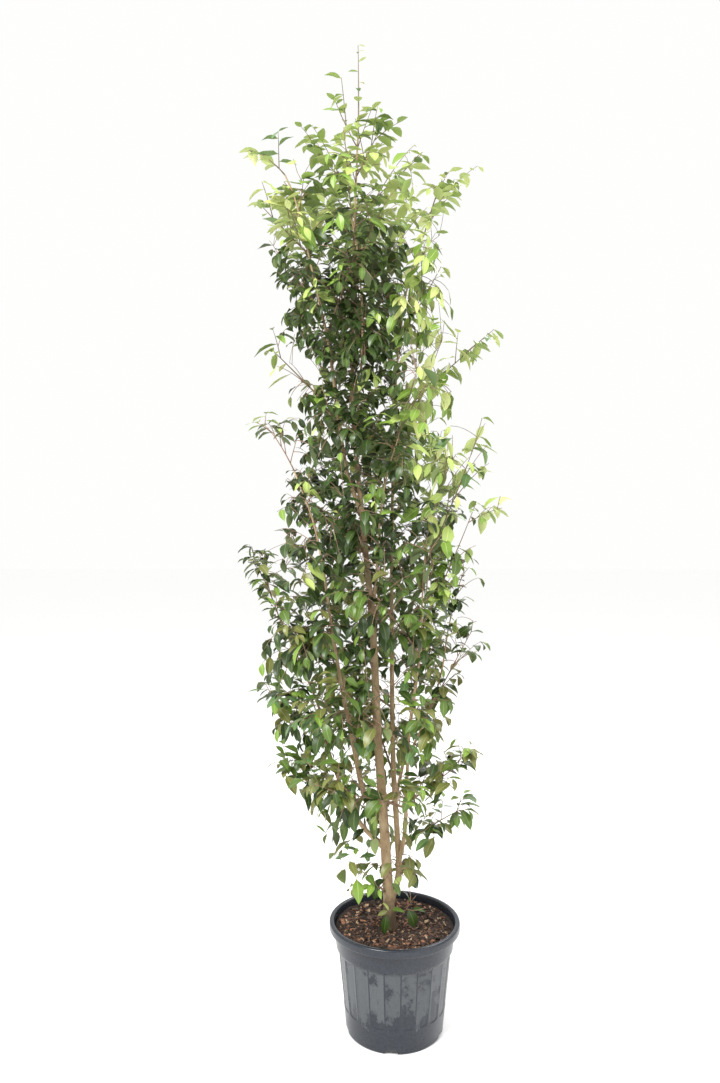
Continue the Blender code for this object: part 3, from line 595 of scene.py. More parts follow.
def resample(fine, spacing):
    lengths = [0.0]
    for a, b in zip(fine, fine[1:]):
        lengths.append(lengths[-1] + (b - a).length)
    count = max(2, round(lengths[-1] / spacing))
    points = []
    k = 0
    for i in range(count + 1):
        wanted = lengths[-1] * i / count
        while k < len(fine) - 2 and lengths[k + 1] < wanted:
            k += 1
        share = (wanted - lengths[k]) / (lengths[k + 1] - lengths[k])
        points.append(fine[k].lerp(fine[k + 1], min(1.0, share)))
    return points


def directions(points):
    """The heading of a path at each of its points."""
    last = len(points) - 1
    return [(points[min(i + 1, last)] - points[max(i - 1, 0)]).normalized()
            for i in range(last + 1)]


def path_length(points):
    return sum((b - a).length for a, b in zip(points, points[1:]))


def tube(points, radii, sides):
    """Verts and triangles of a closed round tube; a radius may be a function of the angle."""
    verts = []
    across = Vector((0, -1, 0))
    for point, heading, radius in zip(points, directions(points), radii):
        across = (across - heading * across.dot(heading)).normalized()
        other = heading.cross(across)
        for i in range(sides):
            angle = i * math.tau / sides
            r = radius(angle) if callable(radius) else radius
            verts.append(point + r * (math.cos(angle) * across + math.sin(angle) * other))
    return verts + [points[0], points[-1]], tube_faces(len(points), sides)


def tube_faces(rings, sides):
    """Triangles of a tube of rings whose two end middles are its last two verts."""
    faces = []
    for k in range(rings - 1):
        for i in range(sides):
            a, b = k * sides + i, k * sides + (i + 1) % sides
            faces += [(a, b, b + sides), (a, b + sides, a + sides)]
    foot, top = rings * sides, rings * sides + 1
    for i in range(sides):
        j = (i + 1) % sides
        faces.append((foot, j, i))
        faces.append((top, (rings - 1) * sides + i, (rings - 1) * sides + j))
    return faces


# Limbs and shoots, by the rule of the part's source


class Limb:
    """One tapering stem or bough, from its parent's middle or the soil to its tip."""

    def __init__(self, name, limbs):
        parent, height, self.foot_radius, self.tip_radius, places = LIMBS[name]
        self.name = name
        self.parent = limbs.get(parent)
        if self.parent:
            places = (self.parent.at_height(height)[0], *places)
            self.parent_girth = self.parent.at_height(height)[1]
        self.places = places
        self.points = curve_through(places, RING_SPACING)
        self.radii = [self.radius_at(i / (len(self.points) - 1)) for i in range(len(self.points))]

    def radius_at(self, share):
        return self.tip_radius + (self.foot_radius - self.tip_radius) * (1 - share) ** TAPER

    def at_height(self, height):
        """The place, radius and heading where the limb passes this height."""
        headings = directions(self.points)
        for i, (a, b) in enumerate(zip(self.points, self.points[1:])):
            if a.z <= height <= b.z:
                share = (height - a.z) / (b.z - a.z)
                radius = self.radii[i] + (self.radii[i + 1] - self.radii[i]) * share
                return a.lerp(b, share), radius, headings[i].lerp(headings[i + 1], share)
        raise ValueError(f"{self.name} doesn't reach {height}")


class Shoot:
    """The stem of one mass: where it leaves its limb, and the arch to its tip."""

    def __init__(self, name, limb, tip, height=None):
        self.name = name
        self.limb = limb
        self.leading = height is None
        if self.leading:
            self.outward = directions(limb.points)[-1]
            self.foot = limb.points[-1] + self.outward * GAP
            self.radius = min(STEM_RADIUS, STEM_SHARE_OF_TIP * limb.tip_radius)
        else:
            axis, girth, heading = limb.at_height(height)
            away = Vector(tip) - axis
            self.outward = (away - heading * away.dot(heading)).normalized()
            self.foot = axis + self.outward * (girth + GAP)
            self.radius = min(STEM_RADIUS, STEM_SHARE_OF_SIDE * girth)
        reach = Vector(tip) - self.foot
        self.reach = reach.length
        self.course = reach.normalized()
        self.tip = Vector(tip) - self.course * LAST_LEAF
        self.points = arch_between(self.foot, self.tip, self.outward, STEM_SPACING)

    def reaches(self, place):
        """Whether a place is no further out than this shoot's leaves go."""
        along = (place - self.foot).dot(self.course)
        if along > self.reach:
            return False
        if in_crown(place):
            return True
        near = self.foot + self.course * max(0.0, along)
        return (place - near).length < OUTSIDE_REACH and CROWN_LEFT < place.x < CROWN_RIGHT

    def spread(self):
        """Places along the leafy part of the stem."""
        last = len(self.points) - 1
        return [self.points[round(last * share)] for share in LEAFY_SHARES]


def row_at(table, height):
    """The values of a table that goes by height, between its rows at this height, or None."""
    for low, high in zip(table, table[1:]):
        if low[0] <= height <= high[0]:
            share = (height - low[0]) / (high[0] - low[0])
            return [a + (b - a) * share for a, b in zip(low[1:], high[1:])]
    return None


def crown_at(height):
    """Where the crown's middle is at this height, and its half-width."""
    return row_at(CROWN, height) or (CROWN[-1][1], 0.0)


def in_crown(place):
    middle, width = crown_at(place.z)
    return math.hypot(place.x - middle, place.y) < width


def path_clear(shoot, limbs):
    """Whether a shoot's stem keeps away from every limb, past its foot."""
    course = zip(shoot.points, shoot.points[1:])
    for point in [a.lerp(b, share) for a, b in course for share in AXIS_STEPS] + shoot.points[-1:]:
        for limb in limbs.values():
            if limb is shoot.limb and (point - shoot.foot).length < OWN_LIMB_REACH:
                continue
            for a, b, radius in zip(limb.points, limb.points[1:], limb.radii):
                run = b - a
                share = max(0.0, min(1.0, (point - a).dot(run) / run.length_squared))
                if (a + run * share - point).length < radius + STEM_CLEARANCE:
                    return False
    return True


def filling_candidates(limbs):
    """Every shoot that could leave a limb towards the crown's outside."""
    found = []
    for limb in limbs.values():
        height = max(FILLING_SPAN[0], limb.points[1].z)
        while height < min(FILLING_SPAN[1], limb.points[-1].z):
            axis = limb.at_height(height)[0]
            for turn in range(FILLING_TURNS):
                angle = turn * math.tau / FILLING_TURNS
                rise = FILLING_RISE[turn % 2]
                middle, width = crown_at(height + rise)
                tip = (middle + width * math.cos(angle), width * math.sin(angle), height + rise)
                length = (Vector(tip) - axis).length
                if SHORTEST_SHOOT < length < LONGEST_SHOOT:
                    found.append((limb, height, tip))
            height += FILLING_STEP
    return found


def gap_to(place, taken):
    return min((place - other).length for other in taken)


def make_shoots(limbs):
    """The stems of all masses: the named ones, then those that fill the widest gaps."""
    shoots = [Shoot(f"{name}_tip_leaves", limbs[name], tip) for name, tip in LEADING_SHOOTS.items()]
    for name, (limb, height, tip) in REACHING_SHOOTS.items():
        shoots.append(Shoot(f"{name}_leaves", limbs[limb], tip, height))
    spare = [Shoot("", limb, tip, height) for limb, height, tip in filling_candidates(limbs)]
    spare = [shoot for shoot in spare if path_clear(shoot, limbs)]
    taken = [place for shoot in shoots for place in shoot.spread()]
    for number in range(FILLING_SHOOTS):
        best = max(spare, key=lambda s: min(gap_to(place, taken) for place in s.spread()))
        spare.remove(best)
        taken += best.spread()
        best.name = f"inner_leaves_{number + 1:02d}"
        shoots.append(best)
    return shoots


# Twigs and leaves


def between(low, high, value):
    """0 below low, 1 above high, and even between."""
    return max(0.0, min(1.0, (value - low) / (high - low)))


class Twig:
    """A path with its radii, and how far along it bears leaves or other twigs."""

    def __init__(self, points, foot_radius, tip_radius, young):
        self.points = points
        self.young = young
        self.borne = 0.0
        last = len(points) - 1
        self.radii = [foot_radius + (tip_radius - foot_radius) * i / last for i in range(last + 1)]

    def bear(self, share):
        self.borne = max(self.borne, share)

    def trim(self):
        """Cut off what bears nothing."""
        keep = math.ceil(self.borne * (len(self.points) - 1)) + 1
        self.points, self.radii = self.points[:keep], self.radii[:keep]


class Crown:
    """All that grows: each twig and leaf keeps to its mass's space and clear of the limbs."""

    def __init__(self, limbs, shoots):
        self.shoots = shoots
        self.twigs = []
        self.leaves = []
        self.cells = {}
        self.owners = []
        self.fullness = {}
        self.shown = [(limbs[name], *rest) for name, *rest in OPEN_FRONT]
        self.axes = KDTree(sum(len(s.points) * len(AXIS_STEPS) for s in shoots))
        for number, shoot in enumerate(shoots):
            for a, b in zip(shoot.points, shoot.points[1:]):
                for share in AXIS_STEPS:
                    self.insert(a.lerp(b, share), number)
            self.insert(shoot.tip, number)
        self.axes.balance()
        fine = {limb: curve_through(limb.places, WOOD_SPACING) for limb in limbs.values()}
        self.wood = KDTree(sum(len(points) for points in fine.values()))
        self.girths = []
        for limb, points in fine.items():
            for i, point in enumerate(points):
                self.wood.insert(point, len(self.girths))
                self.girths.append(limb.radius_at(i / (len(points) - 1)))
        self.wood.balance()

    def insert(self, place, number):
        self.axes.insert(place, len(self.owners))
        self.owners.append(number)

    def room(self, place, number):
        """Whether a place is free for this mass; None stands for twigs straight from a limb."""
        if number is None:
            if not in_crown(place):
                return False
        elif self.owners[self.axes.find(place)[1]] != number:
            return False
        elif not self.shoots[number].reaches(place):
            return False
        _, index, distance = self.wood.find(place)
        return distance > self.girths[index] + LIMB_MARGIN and place.z > SOIL_LEVEL + SOIL_MARGIN

    def alone(self, place):
        """Whether no other leaf's middle is close to this place; keeps the place if so."""
        cell = tuple(int(math.floor(c / LEAF_SPACE)) for c in place)
        for dx in (-1, 0, 1):
            for dy in (-1, 0, 1):
                for dz in (-1, 0, 1):
                    for other in self.cells.get((cell[0] + dx, cell[1] + dy, cell[2] + dz), ()):
                        if (other - place).length < LEAF_SPACE:
                            return False
        self.cells.setdefault(cell, []).append(place)
        self.fullness.setdefault(coarse_cell(place), []).append(place)
        return True

    def leaves_near(self, place):
        """How many leaves are within the filling radius of a place."""
        x, y, z = coarse_cell(place)
        near = [other for dx in (-1, 0, 1) for dy in (-1, 0, 1) for dz in (-1, 0, 1)
                for other in self.fullness.get((x + dx, y + dy, z + dz), ())]
        return sum((other - place).length < FILL_RADIUS for other in near)

    def hides_stem(self, place):
        """Whether a leaf here would hang in front of a stem that shows."""
        for limb, low, high, width in self.shown:
            if low < place.z < high:
                axis = limb.at_height(place.z)[0]
                if abs(place.x - axis.x) < width and place.y < axis.y:
                    return True
        return False


def seen_at(place):
    """Where a place shows from the front, in the plane through the pot's middle."""
    scale = VIEW_DISTANCE / (VIEW_DISTANCE + place.y)
    return (VIEW_MIDDLE[0] + (place.x - VIEW_MIDDLE[0]) * scale,
            VIEW_MIDDLE[1] + (place.z - VIEW_MIDDLE[1]) * scale)


def share_left_out(place, stands_out, depth):
    """The share of leaves left out here because the sky shows at this spot from the front."""
    x, z = seen_at(place)
    share = 0.0
    for at_x, at_z, half_x, half_z, part in OPENINGS:
        if math.hypot((x - at_x) / half_x, (z - at_z) / half_z) < 1.0:
            share = max(share, part)
    if stands_out:
        return share if share > STANDING_OUT_SPARED else 0.0
    edges = row_at(EDGES, z)
    if edges is None:
        return share
    left, right = edges
    aside = math.hypot(place.x - 0.5 * (left + right), place.y)
    past = max(left - x, x - right, aside - depth * 0.5 * (right - left))
    return max(share, min(1.0, past / EDGE_FADE))


def coarse_cell(place):
    return tuple(int(math.floor(c / FILL_RADIUS)) for c in place)


def youth(place):
    """How young the growth is at this place."""
    right = between(*YOUNG_RIGHT, place.x) * between(*YOUNG_RIGHT_HEIGHT, place.z)
    return max(TOP_YOUTH * between(*YOUNG_HEIGHT, place.z), right)


def youth_of_twig(place, draw):
    if draw.random() < SPORT_SHARE and place.z > DENSE_HEIGHT[0]:
        return SPORT_YOUTH
    return max(0.0, min(1.0, youth(place) + draw.uniform(-YOUNG_STRAY, YOUNG_STRAY)))


def side_of(heading, side, turn):
    """The level direction to this side of a heading, turned a little round it at each node."""
    across = heading.cross(Vector((0, 0, 1))) * side
    around = Vector((math.cos(turn * GOLDEN_ANGLE), math.sin(turn * GOLDEN_ANGLE), 0))
    return (across + NODE_TURN * around).normalized()


def stray(amount, draw):
    return Vector([draw.uniform(-amount, amount) for _ in range(3)])


def outward_from_crown(place):
    return Vector((place.x - crown_at(place.z)[0], place.y, 0)).normalized()


def twig_path(place, heading, side, turn, length, draw):
    aside = side_of(heading, side, turn)
    lean = stray(TWIG_STRAY, draw) + Vector((0, 0, draw.uniform(*TWIG_RISE)))
    along = (TWIG_FORWARD * heading + TWIG_ASIDE * aside + lean).normalized()
    return arch_between(place, place + along * length, along, FINE_SPACING)


def stations(points, first, spacing):
    """Even places along a path with the headings there, and how far along each is."""
    headings = directions(points)
    total = path_length(points)
    found = []
    walked = 0.0
    wanted = first
    for i, (a, b) in enumerate(zip(points, points[1:])):
        step = (b - a).length
        while wanted <= walked + step and wanted < total:
            share = (wanted - walked) / step
            heading = headings[i].lerp(headings[i + 1], share).normalized()
            found.append((a.lerp(b, share), heading, wanted / total))
            wanted += spacing
        walked += step
    return found


def add_leaf(crown, number, place, heading, side, turn, length, tone, young, draw):
    """One leaf, if there is room for it: young ones hang, others stand out. Says if it grew."""
    hang, facing = (YOUNG_HANG, YOUNG_FACING) if young > YOUNG_LEAST else (OLD_HANG, OLD_FACING)
    if young > YOUNG_LEAST and place.z > TOP_HEIGHT:
        hang, facing = TOP_HANG, TOP_FACING
    stands_out = number is not None and number < STANDING_OUT
    depth = EDGE_DEPTH if number is None else OWN_DEPTH
    beside = place + side_of(heading, side or 1, turn) * LEAF_SEEN_AT * length
    luck = draw.random()
    if luck < share_left_out(beside, stands_out, depth):
        return False
    low, high = OPEN_FRONT_SHARE
    kept_clear = luck < low + (high - low) * between(*OPEN_FRONT_HEIGHT, place.z)
    for attempt in range(TRIES):
        aside = side_of(heading, side, turn + attempt) if side else Vector()
        down = Vector((0, 0, -draw.uniform(*hang)))
        along = LEAF_FORWARD * heading + LEAF_ASIDE * aside + down + stray(LEAF_STRAY, draw)
        along.normalize()
        up = outward_from_crown(place) * draw.uniform(*facing) + Vector((0, 0, 1))
        up += stray(FACE_STRAY, draw)
        middle = place + along * (0.5 * length)
        tip = place + along * (LEAF_TIP_ALONG * length) - Vector((0, 0, LEAF_TIP_DROP * length))
        if kept_clear and (crown.hides_stem(middle) or crown.hides_stem(tip)):
            continue
        if crown.room(middle, number) and crown.room(tip, number) and crown.alone(middle):
            crown.leaves.append((place, along, up, length, tone))
            return True
    return False


def spray_tone(place, young, draw):
    """The colour of a spray: light on young shoots, dark inside, and olive low down."""
    for least, height, shares in SPRAYS:
        if young > least and place.z > height:
            break
    return draw.choices(list(shares), list(shares.values()))[0]


def leaf_size(place, young, draw):
    if young > YOUNG_LEAST:
        return draw.uniform(*(TOP_LEAF if place.z > TOP_HEIGHT else YOUNG_LEAF))
    return draw.uniform(*(DENSE_LEAF if place.z > DENSE_HEIGHT[1] else OPEN_LEAF))


def node_spacing(place, young):
    if young > YOUNG_LEAST:
        return TOP_NODES if place.z > TOP_HEIGHT else YOUNG_NODES
    return DENSE_NODES if place.z > DENSE_HEIGHT[1] else OPEN_NODES


def leafy(crown, number, twig, first, draw):
    """Leaves by turns along a twig, smaller towards its tip, and one at its end."""
    points, young = twig.points, twig.young
    place = points[len(points) // 2]
    tone = spray_tone(place, young, draw)
    spacing = node_spacing(place, young)
    side = draw.choice((-1, 1))
    for turn, (place, heading, share) in enumerate(stations(points, first, spacing)):
        side = -side
        length = leaf_size(place, young, draw) * (1.0 - SMALLER_OUT * between(SMALLER_FROM, 1.0, share))
        lighter = LIGHTER_SHARE + LIGHTER_SHARE_YOUNG * share * young
        own = LIGHTER[tone] if draw.random() < lighter else tone
        if add_leaf(crown, number, place, heading, side, turn, length, own, young, draw):
            twig.bear(share)
    length = END_LEAF * leaf_size(points[-1], young, draw)
    own = LIGHTER[tone] if draw.random() < LIGHTER_SHARE_END else tone
    if add_leaf(crown, number, points[-1], directions(points)[-1], 0, 0, length, own, young, draw):
        twig.bear(1.0)


def grow_twig(crown, number, place, heading, side, turn, length, foot_radius, young, draw):
    """A twig that fits, shortened where it must be, or None."""
    for attempt in range(TRIES):
        points = twig_path(place, heading, side, turn + attempt, length, draw)
        if crown.room(points[-1], number) and crown.room(points[len(points) // 2], number):
            twig = Twig(points, foot_radius, TWIG_TIP, young)
            crown.twigs.append(twig)
            return twig
        length *= TWIG_RETRY
    return None


def wood_so_far(crown, limbs):
    """Where filling twigs can spring from: place, heading, girth, bearing twig and share along it."""
    wood = [(a, (b - a).normalized(), limb.radius_at(i / len(points)), None, 0.0)
            for limb in limbs.values()
            for points in [curve_through(limb.places, FINE_SPACING)]
            for i, (a, b) in enumerate(zip(points, points[1:]))]
    wood += [(a, (b - a).normalized(), twig.radii[i], twig, i / (len(twig.points) - 1))
             for twig in crown.twigs
             for i, (a, b) in enumerate(zip(twig.points, twig.points[1:])) if i]
    return wood


def filling_targets(draw):
    """Places all through the crown, in any order, and how many leaves each should have near it."""
    targets = []
    height = FILL_SPAN[0]
    while height < FILL_SPAN[1]:
        middle, width = crown_at(height)
        steps = int(width / FILL_STEP) + 1
        for i in range(-steps, steps + 1):
            for k in range(-steps, steps + 1):
                place = Vector((middle + i * FILL_STEP, k * FILL_STEP, height))
                place += stray(0.5 * FILL_STEP, draw)
                off = math.hypot(place.x - middle, place.y) / width
                if FILL_INNER < off < 1.0:
                    edge = 1.0 - (1.0 - FILL_EDGE_SHARE) * between(*FILL_EDGE, off)
                    edge *= 1.0 - (1.0 - FILL_YOUNG_SHARE) * youth(place)
                    wanted = row_at(FILL_WANTED, place.z) or [0.0]
                    targets.append((place, wanted[0] * edge))
        height += FILL_STEP
    draw.shuffle(targets)
    return targets


def grow_filling(crown, limbs, draw):
    """Twigs from the nearest wood to each place in the crown that is still too open."""
    wood = wood_so_far(crown, limbs)
    tree = KDTree(len(wood))
    for i, part in enumerate(wood):
        tree.insert(part[0], i)
    tree.balance()
    first, more = FILL_BARE
    for target, wanted in filling_targets(draw):
        if crown.leaves_near(target) >= wanted:
            continue
        place, index, distance = tree.find(target)
        if not FILL_LENGTH[0] < distance < FILL_LENGTH[1] or not crown.room(target, None):
            continue
        _, heading, girth, bearer, share = wood[index]
        young = youth_of_twig(target, draw)
        out = (target - place).normalized()
        foot = place + out * FILL_SINK * girth
        lean = (FILL_LEAN * heading + FILL_LEAN * out).normalized()
        path = arch_between(foot, target, lean, FINE_SPACING)
        twig = Twig(path, min(TWIG_FOOT, girth), TWIG_TIP, young)
        leafy(crown, None, twig, first + more * distance, draw)
        if twig.borne:
            crown.twigs.append(twig)
            if bearer:
                bearer.bear(share)


def grow_side_twigs(crown, number, twig, draw):
    """Short twigs along a longer one."""
    side = draw.choice((-1, 1))
    places = stations(twig.points, SIDE_TWIG_FIRST, SIDE_TWIG_SPACING)
    for turn, (place, heading, share) in enumerate(places):
        side = -side
        if share > SIDE_TWIG_LAST or draw.random() > SIDE_TWIG_CHANCE:
            continue
        length = draw.uniform(*SIDE_TWIG)
        girth = TWIG_FOOT * SIDE_TWIG_GIRTH
        small = grow_twig(crown, number, place, heading, side, turn, length, girth, twig.young, draw)
        if small:
            leafy(crown, number, small, SIDE_TWIG_BARE, draw)
            if small.borne:
                twig.bear(share)


def twig_on_stem(crown, number, kind, stem, station, side, turn, draw):
    """Maybe a twig here on a mass's stem, with its leaves. Says if it grew."""
    place, heading, share = station
    young = stem.young
    chance = OLD_TWIG_CHANCE if young < YOUNG_LEAST else YOUNG_TWIG_CHANCE * (1.0 - share)
    if kind == "trunk" and place.z > BARE_TRUNK:
        chance = 0.0
    if draw.random() >= chance:
        return False
    low, high = YOUNG_TWIG if young > YOUNG_LEAST else OLD_TWIG
    length = draw.uniform(low, high) * (1.0 - TWIG_SHORTER_OUT * share)
    twig = grow_twig(crown, number, place, heading, side, turn, length, TWIG_FOOT, young, draw)
    if not twig:
        return False
    if young < GREEN_LEAST and kind != "foot_front":
        grow_side_twigs(crown, number, twig, draw)
    leafy(crown, number, twig, TWIG_BARE, draw)
    if twig.borne:
        stem.bear(share)
    return True


def grow_mass(crown, number, shoot):
    """One mass: its stem, twigs on the stem, twigs on those, and leaves on them all."""
    draw = random.Random(SEED * 1000 + number)
    kind = shoot.name.replace("_tip_leaves", "").replace("_leaves", "")
    young = YOUNG.get(kind, youth(shoot.points[len(shoot.points) // 2]))
    fine = arch_between(shoot.foot, shoot.tip, shoot.outward, FINE_SPACING)
    sunk = shoot.foot - shoot.outward * 0.5 * shoot.radius
    stem = Twig([sunk, *fine[1:]], shoot.radius, STEM_TIP, young)
    crown.twigs.append(stem)
    nodes = STEM_NODES.get(kind, OLD_STEM_NODES if young < YOUNG_STEM_LEAST else YOUNG_STEM_NODES)
    shrink, shrink_from = TIP_SHRINK.get(kind, OTHER_TIP_SHRINK)
    side = 1
    for turn, station in enumerate(stations(stem.points, BARE_FOOT, nodes)):
        side = -side
        if twig_on_stem(crown, number, kind, stem, station, side, turn, draw):
            continue
        place, heading, share = station
        tone = spray_tone(place, young, draw)
        length = leaf_size(place, young, draw) * (1.0 - shrink * between(shrink_from, 1.0, share))
        if add_leaf(crown, number, place, heading, side, turn, length, tone, young, draw):
            stem.bear(share)
    tone = spray_tone(stem.points[-1], young, draw)
    heading = directions(stem.points)[-1]
    for place in stem.points[-2:]:
        length = leaf_size(place, young, draw) * (1.0 - shrink)
        if add_leaf(crown, number, place, heading, side, 0, length, tone, young, draw):
            stem.bear(1.0)


def grow_on_limb(crown, limb, draw):
    """Twigs straight from a limb, on all sides of it, that fill the middle of the crown."""
    points = curve_through(limb.places, FINE_SPACING)
    places = stations(points, LIMB_TWIG_FIRST, LIMB_TWIG_SPACING)
    for turn, (place, heading, share) in enumerate(places):
        if place.z < LIMB_TWIG_LOWEST or share > LIMB_TWIG_LAST:
            continue
        if draw.random() < LIMB_TWIG_FEWER_LOW * (1.0 - between(*DENSE_HEIGHT, place.z)):
            continue
        angle = turn * GOLDEN_ANGLE
        out = Vector((math.cos(angle), math.sin(angle), LIMB_TWIG_RISE)).normalized()
        foot = place + out * limb.radius_at(share) * LIMB_TWIG_SINK
        length = draw.uniform(*LIMB_TWIG)
        tip = foot + (out + Vector((0, 0, draw.uniform(*LIMB_TWIG_LIFT)))).normalized() * length
        path = arch_between(foot, tip, out, FINE_SPACING)
        if not (crown.room(path[-1], None) and crown.room(path[len(path) // 2], None)):
            continue
        twig = Twig(path, TWIG_FOOT, TWIG_TIP, LIMB_TWIG_YOUTH * youth_of_twig(tip, draw))
        crown.twigs.append(twig)
        if draw.random() < LIMB_TWIG_BRANCHED:
            grow_side_twigs(crown, None, twig, draw)
        leafy(crown, None, twig, LIMB_TWIG_BARE, draw)


def grow_sprigs(crown):
    """The low sprigs that show one by one at the foot of the trunk."""
    for paths, leaves in SPRIGS:
        for path in paths:
            twig = Twig(curve_through(path, SPRIG_SPACING), SPRIG_FOOT, SPRIG_TIP, 0.0)
            twig.bear(1.0)
            crown.twigs.append(twig)
        for root, tip, tone in leaves:
            along = Vector(tip) - Vector(root)
            up = Vector(SPRIG_FACE_HANGING if along.z < 0 else SPRIG_FACE_RISING)
            crown.leaves.append((Vector(root), along.normalized(), up, along.length, tone))


def leaf_pattern(number, draw):
    """Verts of one leaf of unit length along +X with its face up: folded, bent, waved and twisted."""
    fold = draw.uniform(*LEAF_FOLD)
    bend = LEAF_BEND[0] + LEAF_BEND[1] * number / (LEAF_PATTERNS - 1)
    wave = draw.uniform(*LEAF_WAVE)
    twist = draw.uniform(-LEAF_TWIST, LEAF_TWIST)
    width = LEAF_WIDTH * draw.uniform(*LEAF_WIDTHS)
    phases = (draw.uniform(0, math.tau), draw.uniform(0, math.tau))

    def centre(u):
        return (math.sin(bend * u) / bend, 0.0, (math.cos(bend * u) - 1.0) / bend)

    def half_width(u):
        t = between(LEAF_STALK, 1.0, u)
        blade = width * math.sin(math.pi * t ** LEAF_WIDEST) ** LEAF_ROUNDNESS
        return max(STALK_WIDTH, blade * (1.0 - LEAF_POINT * t ** 4))

    def place(u, v, sink=0.0):
        w = half_width(u)
        y = v * w
        ripple = wave * v * v * math.sin(LEAF_WAVES * u + phases[v > 0])
        lift = w * (abs(v) * fold * (1.0 - LEAF_FLATTER_OUT * abs(v)) + ripple) - sink
        turn = twist * (u - LEAF_TWIST_FROM)
        y, lift = y * math.cos(turn) - lift * math.sin(turn), y * math.sin(turn) + lift * math.cos(turn)
        x, _, z = centre(u)
        return (x + lift * math.sin(bend * u), y, z + lift * math.cos(bend * u))

    verts = [place(u, v) for u in LEAF_ROWS for v in LEAF_COLUMNS]
    verts += [place(u, 0.0, sink=LEAF_THICKNESS) for u in LEAF_ROWS]
    verts.append(centre(1.0))
    return verts


def leaf_triangles():
    """Triangles of a leaf, each with its material: 0 the face, 1 the midrib, 2 the back."""
    rows, columns = len(LEAF_ROWS), len(LEAF_COLUMNS)
    under = rows * columns
    tip = under + rows
    rib = columns // 2 - 1
    found = []
    for r in range(rows):
        for c in range(columns - 1):
            a, b = r * columns + c, r * columns + c + 1
            kind = 1 if c == rib else 0
            if r == rows - 1:
                found.append(((a, tip, b), kind))
            else:
                found += [((a, a + columns, b + columns), kind), ((a, b + columns, b), kind)]
        left, right = r * columns, r * columns + columns - 1
        if r == rows - 1:
            found += [((left, under + r, tip), 2), ((under + r, right, tip), 2)]
        else:
            for a, b in ((left, under + r), (under + r, right)):
                c = a + (1 if a >= under else columns)
                d = b + (1 if b >= under else columns)
                found += [((a, b, d), 2), ((a, d, c), 2)]
    found += [((c, c + 1, under), 2) for c in range(columns - 1)]
    return np.array([t for t, _ in found]), np.array([k for _, k in found])


def unit(rows):
    return rows / np.linalg.norm(rows, axis=1, keepdims=True)


def make_leaves(leaves):
    """One joined mesh for each tone, of leaves in a few patterns."""
    draw = random.Random(SEED)
    patterns = np.array([leaf_pattern(i, draw) for i in range(LEAF_PATTERNS)])
    triangles, kinds = leaf_triangles()
    made = []
    for tone, (face, rib, back) in LEAF_COLOURS.items():
        materials = [
            material(f"{tone} leaf face", face, FACE_ROUGHNESS, Specular_IOR_Level=FACE_SPECULAR),
            material(f"{tone} leaf midrib", rib, MIDRIB_ROUGHNESS),
            material(f"{tone} leaf back", back, BACK_ROUGHNESS),
        ]
        of_tone = [leaf for leaf in leaves if leaf[4] == tone]
        for first in range(0, len(of_tone), LEAVES_PER_PIECE):
            mine = of_tone[first:first + LEAVES_PER_PIECE]
            name = f"leaves_{tone}_{first // LEAVES_PER_PIECE + 1}"
            shapes = patterns[FIRST_BENT:] if tone in BENT_TONES else patterns[:-FIRST_BENT]
            made.append(leaf_piece(name, mine, shapes, triangles, kinds, materials, draw))
    return made


def leaf_piece(name, mine, patterns, triangles, kinds, materials, draw):
    """One joined mesh of leaves of one tone."""
    root = np.array([leaf[0] for leaf in mine])
    along = unit(np.array([leaf[1] for leaf in mine]))
    up = np.array([leaf[2] for leaf in mine])
    up = unit(up - along * np.sum(up * along, axis=1, keepdims=True))
    side = np.cross(up, along)
    length = np.array([leaf[3] for leaf in mine])[:, None, None]
    shape = patterns[np.array([draw.randrange(len(patterns)) for _ in mine])] * length
    verts = root[:, None, :] + (shape[..., 0:1] * along[:, None, :]
                                + shape[..., 1:2] * side[:, None, :]
                                + shape[..., 2:3] * up[:, None, :])
    faces = triangles[None] + (np.arange(len(mine)) * shape.shape[1])[:, None, None]
    obj = mesh_object(name, verts.reshape(-1, 3), faces.reshape(-1, 3), materials,
                      indices=np.tile(kinds, len(mine)), sharp=LEAF_SHARP)
    return obj


def make_twigs(twigs):
    """Two joined meshes: the brown twigs, and the young shoots, darker and a little greener."""
    heaps = {name: Heap() for name in TWIG_COLOURS}
    for twig in twigs:
        if not twig.borne:
            continue
        twig.trim()
        heap = heaps["young_shoots" if twig.young > GREEN_LEAST else "brown_twigs"]
        heap.add(*tube(twig.points, twig.radii, TWIG_SIDES))
    made = []
    for name, heap in heaps.items():
        looks = material(name.replace("_", " "), TWIG_COLOURS[name], TWIG_ROUGHNESS)
        obj = heap.object(name, [looks])
        made.append(obj)
    return made


# Bark


BARK_SIDES = 20
THIN_BARK_SIDES = 14
THICK_LIMB = 0.007
BARK_RING = 0.009
COLLAR_SWELL = 0.45
COLLAR_REACH = 0.018
TRUNK_SINK = 0.006
ROOT_LOBES = 5
ROOT_LOBE_TURN = 1.0
ROOT_LOBE_RISE = 0.18
KNOT_SPACING = 0.11
KNOT_SIZE = (0.010, 0.022)
KNOT_RISE = (0.05, 0.16)
KNOT_STEP = (0.5, 1.4)
RELIEF_COARSE = 24.0
RELIEF_DEPTH = 0.035
RELIEF_FINE = 190.0
RELIEF_FINE_DEPTH = 0.00035
RELIEF_STRETCH = 0.6
RELIEF_APART = 3.1
BARK_COLOURS = ((0.30, (0.190, 0.120, 0.060)), (0.42, (0.330, 0.225, 0.120)),
                (0.56, (0.430, 0.310, 0.178)), (0.74, (0.520, 0.400, 0.250)))
PATCH_STRETCH = (1.0, 1.0, 0.55)
PORE_COLOUR = (0.45, 0.37, 0.25, 1.0)
PORE_EDGE = (0.10, 0.22)
PORE_PALENESS = 0.55
# Bark darkened near the soil: partly damp bark, partly painted shade
DAMP_AND_SHADE_COLOUR = (0.066, 0.044, 0.022, 1.0)
DAMP_AND_SHADE_HEIGHT = (SOIL_LEVEL + 0.045, SOIL_LEVEL + 0.12)
